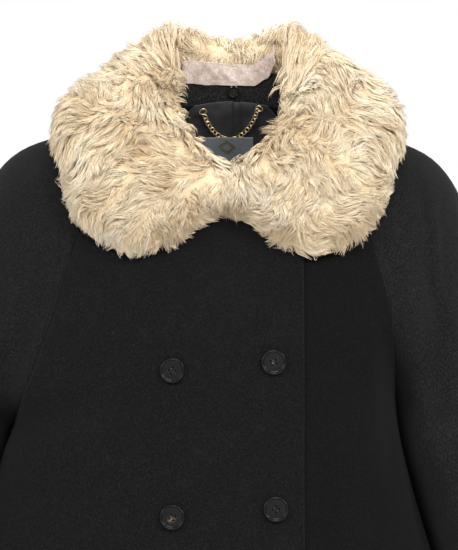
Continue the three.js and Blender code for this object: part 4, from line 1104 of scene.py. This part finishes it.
def turn_field(points):
    """A slowly changing angle over the fur, as an even sum of waves."""
    x, y, z = points[..., 0], points[..., 1], points[..., 2]
    return (0.62 * np.sin(x / 21 + 1.9 * np.sin(z / 31 + 1)) + 0.55 * np.sin(z / 18 + 1.6 * np.sin(x / 37))
            + 0.42 * np.sin((x + z) / 11 + y / 27 + 2.0) + 0.38 * np.sin((x - z) / 9.5 - y / 21))


def drawn_along(row, count):
    """Random columns of the surface, even by length along one of its rows."""
    length = np.append(0, np.cumsum(length_u[int(row), :-1]))
    return np.interp(random.random(count) * length[-1], length, np.arange(rows_u))


# Roots of the locks, as rows v and columns u of the surface.
area = (length_v * length_u)[:-1, :-1]
area[:SKIRT_STEPS] = 0
area[int(rows_v * 0.95):] *= 0.5
area *= np.where(surface[:-1, :-1, 1] < 60, 1.2, 0.9)
chosen = random.choice(area.size, LOCKS, p=area.ravel() / area.sum())
all_v = chosen // area.shape[1] + random.random(LOCKS)
all_u = chosen % area.shape[1] + random.random(LOCKS)
edge_u = drawn_along(SKIRT_STEPS, EDGE_LOCKS)
edge_v = SKIRT_STEPS + random.uniform(*EDGE_BAND, EDGE_LOCKS)
throat_v = random.uniform(CREST_V - 7, rows_v - 5, THROAT_LOCKS)
throat_u = drawn_along(CREST_V, THROAT_LOCKS)
parting_v = random.uniform(SKIRT_STEPS + 4, rows_v - 8, PARTING_LOCKS)
first_side = random.random(PARTING_LOCKS) < 0.5
from_first, from_last = (random.uniform(*PARTING_BAND, PARTING_LOCKS) for _ in range(2))
parting_u = np.where(first_side, from_first, rows_u - 1 - from_last)
lock_v = np.concatenate([all_v, edge_v, throat_v, parting_v])
lock_u = np.concatenate([all_u, edge_u, throat_u, parting_u])
kind = np.repeat(np.arange(len(LOCK_KINDS)), LOCK_KINDS)
at_edge, at_throat, at_parting = kind == 1, kind == 2, kind == 3
count = len(kind)

# The direction, the lift and the lean of each lock.
roots = sample(surface, lock_v, lock_u)
root_x, root_y, root_z = roots.T
lock_length = np.where(at_edge, random.uniform(*EDGE_LENGTH, count), random.uniform(*LOCK_LENGTH, count))
inward = smooth((lock_v - CREST_V) / 5 + 0.5)
heading = random.normal(0, HEADING_SPREAD, count) + math.pi * (random.random(count) < inward)
lift_top = np.choose(kind, [random.uniform(*span, count) for span in TIP_LIFT])
lift_root = np.choose(kind, ROOT_LIFT)
lean_x = at_parting * random.uniform(*PARTING_LEAN, count) * np.where(lock_u < rows_u / 2, 1, -1)
in_front = at_throat & (root_y < 25) & (root_z < 20)
beside = at_throat & (root_z >= 20) & (np.abs(root_x) > 30)
for place, (of_left, of_right) in ((in_front, FRONT_LEAN), (beside, SIDE_LEAN)):
    lean_x = np.where(place, np.where(root_x > 0, of_left, of_right) * random.random(count), lean_x)
lock_tone = random.normal(0, LOCK_TONES, count)
tip_limit = random.uniform(0, TIP_LIMIT, count)
droop = (root_y < 0) & (lock_v < SKIRT_STEPS + FRINGE_ROWS)
droop = droop * np.interp(root_x, *zip(*FUR_DROOP))

# The middle line of each lock, a step at a time over the surface.
path, frames = np.zeros((2, count, SEGMENTS + 1, 3))
v, u = lock_v, lock_u
overrun = np.zeros((count, 3))
step = lock_length / SEGMENTS
for k in range(SEGMENTS + 1):
    share = k / SEGMENTS
    normal = unit(sample(surface_normals, v, u))
    height = -UNDERCOAT_DEPTH + lift_root + (lift_top - lift_root) * share ** 0.7
    height = np.where(v < SKIRT_STEPS, np.maximum(height, -1), height)
    path[:, k] = sample(surface, v, u) + overrun + normal * height[:, None]
    path[:, k, 0] += lean_x * share
    path[:, k, 2] -= droop * share
    frames[:, k] = normal
    angle = heading + np.choose(kind, FIELD_SHARE) * turn_field(path[:, k])
    next_v = v - np.cos(angle) * step / np.maximum(sample(length_v, v, u), LEAST_CELL)
    next_u = u + np.sin(angle) * step / np.maximum(sample(length_u, v, u), LEAST_CELL)
    inside_v, inside_u = clamp(next_v, tip_limit, rows_v - 1), clamp(next_u, 0, rows_u - 1)
    past = clamp((next_u - inside_u) * sample(length_u, v, u), -PAST_MOST, PAST_MOST)
    overrun += unit(sample(tangent_u, v, u)) * past[:, None] * 0.6
    v, u = inside_v, inside_u

# Hairs of each lock: offsets across the lock that shrink towards its tip.
spread_u, spread_v = random.normal(0, 1, (2, count, HAIRS))
spread_n = random.uniform(-1.6, 1.2, (count, HAIRS))
width = random.uniform(1.7, 3.1, count)[:, None]
own_length = random.uniform(0.68, 1.1, (count, HAIRS))
shares = np.linspace(0, 1, SEGMENTS + 1)
gather = np.where(at_edge[:, None], 1 - 0.45 * shares, 1 - 0.62 * shares ** 1.3)
root_u, root_v = unit(sample(tangent_u, lock_v, lock_u)), unit(sample(tangent_v, lock_v, lock_u))
offset = root_u[:, None] * (spread_u * width)[..., None] + root_v[:, None] * (spread_v * width)[..., None]
hair = (path[:, None] + offset[:, :, None] * gather[:, None, :, None]
        + frames[:, None] * (spread_n[..., None] * shares)[..., None])
hair = hair[:, :, :1] + (hair - hair[:, :, :1]) * own_length[..., None, None]
hair = hair.reshape(-1, SEGMENTS + 1, 3)
hair_normal = np.repeat(frames, HAIRS, axis=0)
hairs = len(hair)
hair_radius = random.uniform(0.26, 0.48, hairs)
hair_tone = np.repeat(lock_tone, HAIRS) + random.normal(0, HAIR_TONES, hairs)

# Each hair is a three-sided tube that ends in a point.
SIDES, TAPER = 3, np.array([0.9, 1.0, 0.72])
tangent = unit(np.gradient(hair, axis=1))
sideways = unit(np.cross(tangent, hair_normal))
upwards = np.cross(sideways, tangent)
corners = []
for corner in range(SIDES):
    angle = corner * 2 * math.pi / SIDES + math.pi / 2
    around = math.cos(angle) * sideways[:, :SEGMENTS] + math.sin(angle) * upwards[:, :SEGMENTS]
    corners.append(hair[:, :SEGMENTS] + around * (hair_radius[:, None] * TAPER)[..., None])
tube = np.stack(corners, axis=2).reshape(hairs, SEGMENTS * SIDES, 3)
hair_vertices = np.concatenate([tube, hair[:, -1:]], axis=1)
along_tone = np.append(np.repeat(shares[:SEGMENTS], SIDES), 1.0)
hair_lie = np.concatenate([np.repeat(hair_normal[:, :SEGMENTS], SIDES, axis=1), hair_normal[:, -1:]], axis=1)
hair_tones = 0.54 + 0.24 * along_tone[None, :] ** 0.8 + hair_tone[:, None]

template = []
for k in range(SEGMENTS - 1):
    for corner in range(SIDES):
        a, b = SIDES * k + corner, SIDES * k + (corner + 1) % SIDES
        template += [(a, b, b + SIDES), (a, b + SIDES, a + SIDES)]
last = SIDES * (SEGMENTS - 1)
template += [(last + c, last + (c + 1) % SIDES, SIDES * SEGMENTS) for c in range(SIDES)]
template = np.array(template + [(0, 2, 1)])

order = random.permutation(hairs)
for number, group in enumerate(np.array_split(order, PIECES)):
    some = hair_vertices[group].reshape(-1, 3)
    starts = np.arange(len(group)) * hair_vertices.shape[1]
    faces = facing_out(some, (template[None] + starts[:, None, None]).reshape(-1, 3))
    locks = new_object("fur_locks_%d" % (number + 1), some, faces,
                       attributes={"tone": hair_tones[group].ravel(), "lie": hair_lie[group].reshape(-1, 3)})
    finish_piece(locks, FUR_LOOK, "fur", "fur_collar")

# ---------------------------------------------------------------- buttons

# How far out and how high, as shares of the radius and the height.
BUTTON_PROFILE = ((0.0, 0.1), (0.30, 0.0), (0.78, 0.0), (0.93, 0.10), (1.0, 0.38), (0.995, 0.62),
                  (0.975, 0.84), (0.945, 0.95), (0.905, 1.0), (0.865, 0.95), (0.835, 0.82), (0.80, 0.66),
                  (0.76, 0.58), (0.70, 0.60), (0.35, 0.62), (0.12, 0.62), (0.0, 0.62))
BUTTON_TURNS, HOLE_OUT, HOLE_RADIUS = 56, 2.9, 1.3


def button_mesh(name, radius, height):
    """A button with its back at z = 0, with a raised rim, a dished face and four holes."""
    first, second = radius * np.array([1.0, 0, 0]), radius * np.array([0, 1.0, 0])
    levels = [np.array([0, 0, up * height]) for _, up in BUTTON_PROFILE]
    rings = [round_path(level, share * first, share * second, BUTTON_TURNS)
             for level, (share, _) in zip(levels[1:-1], BUTTON_PROFILE[1:-1])]
    vertices = np.concatenate([levels[:1], *rings, levels[-1:]])
    starts = 1 + BUTTON_TURNS * np.arange(len(rings))
    faces = []
    for k in range(BUTTON_TURNS):
        following = (k + 1) % BUTTON_TURNS
        faces.append([0, 1 + following, 1 + k])
        faces += [[a + k, a + following, b + following, b + k] for a, b in zip(starts, starts[1:])]
        faces.append([starts[-1] + k, starts[-1] + following, len(vertices) - 1])
    body = new_object(name, vertices, faces)
    cutters = []
    scale = radius / BUTTON_RADIUS
    for k in range(4):
        a = math.pi / 4 + k * math.pi / 2
        place = np.array([HOLE_OUT * math.cos(a), HOLE_OUT * math.sin(a)]) * scale
        rod = np.array([[*place, -height], [*place, height / 2], [*place, height * 2]])
        cutters.append(tube_arrays(rod, HOLE_RADIUS * scale, 16))
    cutter = new_object(name + "_cutter", *joined(cutters))
    boolean = body.modifiers.new("holes", "BOOLEAN")
    boolean.operation, boolean.object, boolean.solver = "DIFFERENCE", cutter, "EXACT"
    evaluated = body.evaluated_get(bpy.context.evaluated_depsgraph_get())
    mesh = bpy.data.meshes.new_from_object(evaluated)
    mesh.polygons.foreach_set("use_smooth", np.full(len(mesh.polygons), True))
    for unwanted in (body, cutter):
        bpy.data.objects.remove(unwanted)
    return mesh


def spun(normal, spin):
    """Two axes across a normal, the first turned about it by spin from the horizontal."""
    level = unit(np.cross(np.array([0, 0, 1.0]), normal))
    first = level * math.cos(spin) + np.cross(normal, level) * math.sin(spin)
    return first, np.cross(normal, first)


def placed(mesh, name, at, normal, spin):
    """A copy of a button's mesh whose z axis looks along normal, with its vertices where it stays."""
    vertices = np.zeros(len(mesh.vertices) * 3, np.float32)
    mesh.vertices.foreach_get("co", vertices)
    vertices = vertices.reshape(-1, 3)
    moved = vertices @ np.stack([*spun(normal, spin), normal]) + np.asarray(at) / 1000
    copy = mesh.copy()
    copy.vertices.foreach_set("co", moved.astype(np.float32).ravel())
    copy.update()
    out_share = np.hypot(vertices[:, 0], vertices[:, 1]) / np.abs(vertices[:, 0]).max()
    centre = clamp(1.2 - 2 * out_share).astype(np.float32)
    copy.attributes.new("centre", "FLOAT", "POINT").data.foreach_set("value", centre)
    made = bpy.data.objects.new(name, copy)
    bpy.context.collection.objects.link(made)
    return made


def upper_front_at(x, z, distance):
    """A point at a distance off the upper front, and the normal there."""
    x, z = np.array([float(x)]), np.array([float(z)])
    row = solve(5.0, float(HEM_ROW), z, lambda value: point_at_x(value, x)[..., 2])
    down = point_at_x(row + 0.06, x) - point_at_x(row - 0.06, x)
    sideways = point_at_x(row, x + 6) - point_at_x(row, x - 6)
    normal = normal_towards(down, sideways, -BACKWARDS)
    found = point_at_x(row, x) + normal * (lay(x, row) + distance)[..., None]
    return found[0], normal[0]


# The path of a thread from hole to hole: its place between them, and its height as a share of the button's.
THREAD_PATH = np.array(((-1, 0.15), (-0.97, 0.5), (-0.6, 0.72), (0, 0.76), (0.6, 0.72), (0.97, 0.5),
                        (1, 0.15)))
THREAD_RADIUS, THREAD_APART = 0.24, 0.22


def threads(name, at, normal, spin, scale, height):
    """Two bars of thread across the button's holes, each of two strands."""
    across, upward = spun(normal, spin)
    reach = HOLE_OUT * math.sqrt(0.5) * scale
    run, out = THREAD_PATH.T[..., None]
    parts = []
    for row in (-1, 1):
        for strand in (-THREAD_APART, THREAD_APART):
            path = at + across * reach * run + upward * (row * reach + strand * scale) + normal * height * out
            parts.append(tube_arrays(path, THREAD_RADIUS * scale, 6))
    return new_object(name, *joined(parts))


def sewn_button(mesh, node, at, normal, spin, scale, height):
    """Places a button and its thread where the solids have the node."""
    finish_piece(placed(mesh, "horn_" + node, at, normal, spin), HORN_LOOK, "horn", node)
    finish_piece(threads("thread_" + node, at, normal, spin, scale, height), BLACK_THREAD, "horn")


coat_button = button_mesh("coat_button", BUTTON_RADIUS, BUTTON_HEIGHT)
small_button = button_mesh("small_button", NECK_BUTTON["radius"], NECK_BUTTON["height"])
SPINS, SPIN_STEP = {"right": 0.62, "left": 0.35, "neck": 0.5}, 0.5
for i, z in enumerate(BUTTON_ROWS):
    for side, x, lift in (("right", BUTTON_X["right"], -BUTTON_TILT),
                          ("left", BUTTON_X["left"] + BUTTON_STEP * i, BUTTON_TILT)):
        at, normal = upper_front_at(x, z + lift, LAY_GAP)
        sewn_button(coat_button, "button_%d_%s" % (i + 1, side), at, normal, SPINS[side] + SPIN_STEP * i, 1.0,
                    BUTTON_HEIGHT)

neck_turn = solve(90.0, 180.0, np.array([-float(NECK_BUTTON["x"])]),
                  lambda turn: -np.abs(neck_point(1, turn)[..., 0]))
neck_seat = band_point(1, neck_turn, np.array([float(NECK_BUTTON["up"])]))
inwards = -outward_at(neck_seat)[0]
neck_at = neck_seat[0] + inwards * (WOOL + 2 * LAY_GAP)
sewn_button(small_button, "neck_button", neck_at, inwards, SPINS["neck"],
            NECK_BUTTON["radius"] / BUTTON_RADIUS, NECK_BUTTON["height"])

# A white thread loop holds the satin stand on the neck button.
LOOP = dict(left=-2.6, right=3.4, foot=5.2, rise=3.0, off=1.6, swell=0.4, radius=0.4)
share = np.linspace(0, 1, 17)
swing = np.sin(share * math.pi)
loop = neck_at + inwards * (LOOP["off"] + LOOP["swell"] * swing)[:, None]
loop = loop + point(mix(LOOP["left"], LOOP["right"], share), 0, LOOP["foot"] + LOOP["rise"] * swing)
finish_piece(new_object("neck_loop", *tube_arrays(loop, LOOP["radius"], 6)), PALE_THREAD, "satin")

# ---------------------------------------------------------------- floor, light and camera

FLOOR_Z, FLOOR_RADIUS, FLOOR_SIDES = -767.5, 1900.0, 96
disc = round_path(np.array([0, 0, FLOOR_Z]), np.array([FLOOR_RADIUS, 0, 0]), np.array([0, FLOOR_RADIUS, 0]),
                  FLOOR_SIDES)
floor = new_object("floor", disc, [list(range(FLOOR_SIDES))], smooth_shading=False)
floor.data.materials.append(floor_look())

AMBIENT = 0.62  # light from all round, against the plain white that the camera sees behind the coat
world = bpy.data.worlds.new("studio")
world.use_nodes = True
backdrop = world.node_tree.nodes["Background"]
backdrop.inputs["Color"].default_value = (1, 1, 1, 1)
seen = world.node_tree.nodes.new("ShaderNodeLightPath")
strength = world.node_tree.nodes.new("ShaderNodeMapRange")
strength.inputs["To Min"].default_value = AMBIENT
world.node_tree.links.new(seen.outputs["Is Camera Ray"], strength.inputs["Value"])
world.node_tree.links.new(strength.outputs[0], backdrop.inputs["Strength"])
bpy.context.scene.world = world


def soft_light(name, at, towards, size, power):
    data = bpy.data.lights.new(name, "AREA")
    data.shape, data.size, data.energy = "DISK", size, power
    lamp = bpy.data.objects.new(name, data)
    lamp.location = at
    direction = np.array(towards, float) - np.array(at, float)
    lamp.rotation_euler = Vector(direction).to_track_quat("-Z", "Y").to_euler()
    bpy.context.collection.objects.link(lamp)


MIDDLE = (0, 0, -0.25)
soft_light("key", (2.2, -2.3, 1.6), MIDDLE, 1.2, 70)
soft_light("fill", (-2.3, -2.2, 1.4), MIDDLE, 1.4, 48)
soft_light("front", (0.3, -3.7, 1.9), MIDDLE, 1.2, 64)
soft_light("top", (0.0, 0.3, 2.4), MIDDLE, 1.6, 34)

CAMERA_DISTANCE, FRONT_Y, FRAME_HEIGHT, SENSOR = 5.0, -0.135, 0.550, 36.0
CAMERA_X, CAMERA_Z = 0.001, -0.175
camera = bpy.data.objects.new("camera", bpy.data.cameras.new("camera"))
camera.data.sensor_width = SENSOR
camera.data.lens = SENSOR * CAMERA_DISTANCE / FRAME_HEIGHT
camera.data.clip_end = 50
camera.location = (CAMERA_X, FRONT_Y - CAMERA_DISTANCE, CAMERA_Z)
camera.rotation_euler = (math.pi / 2, 0, 0)
bpy.context.collection.objects.link(camera)
bpy.context.scene.camera = camera
bpy.context.scene.view_settings.view_transform = "Standard"
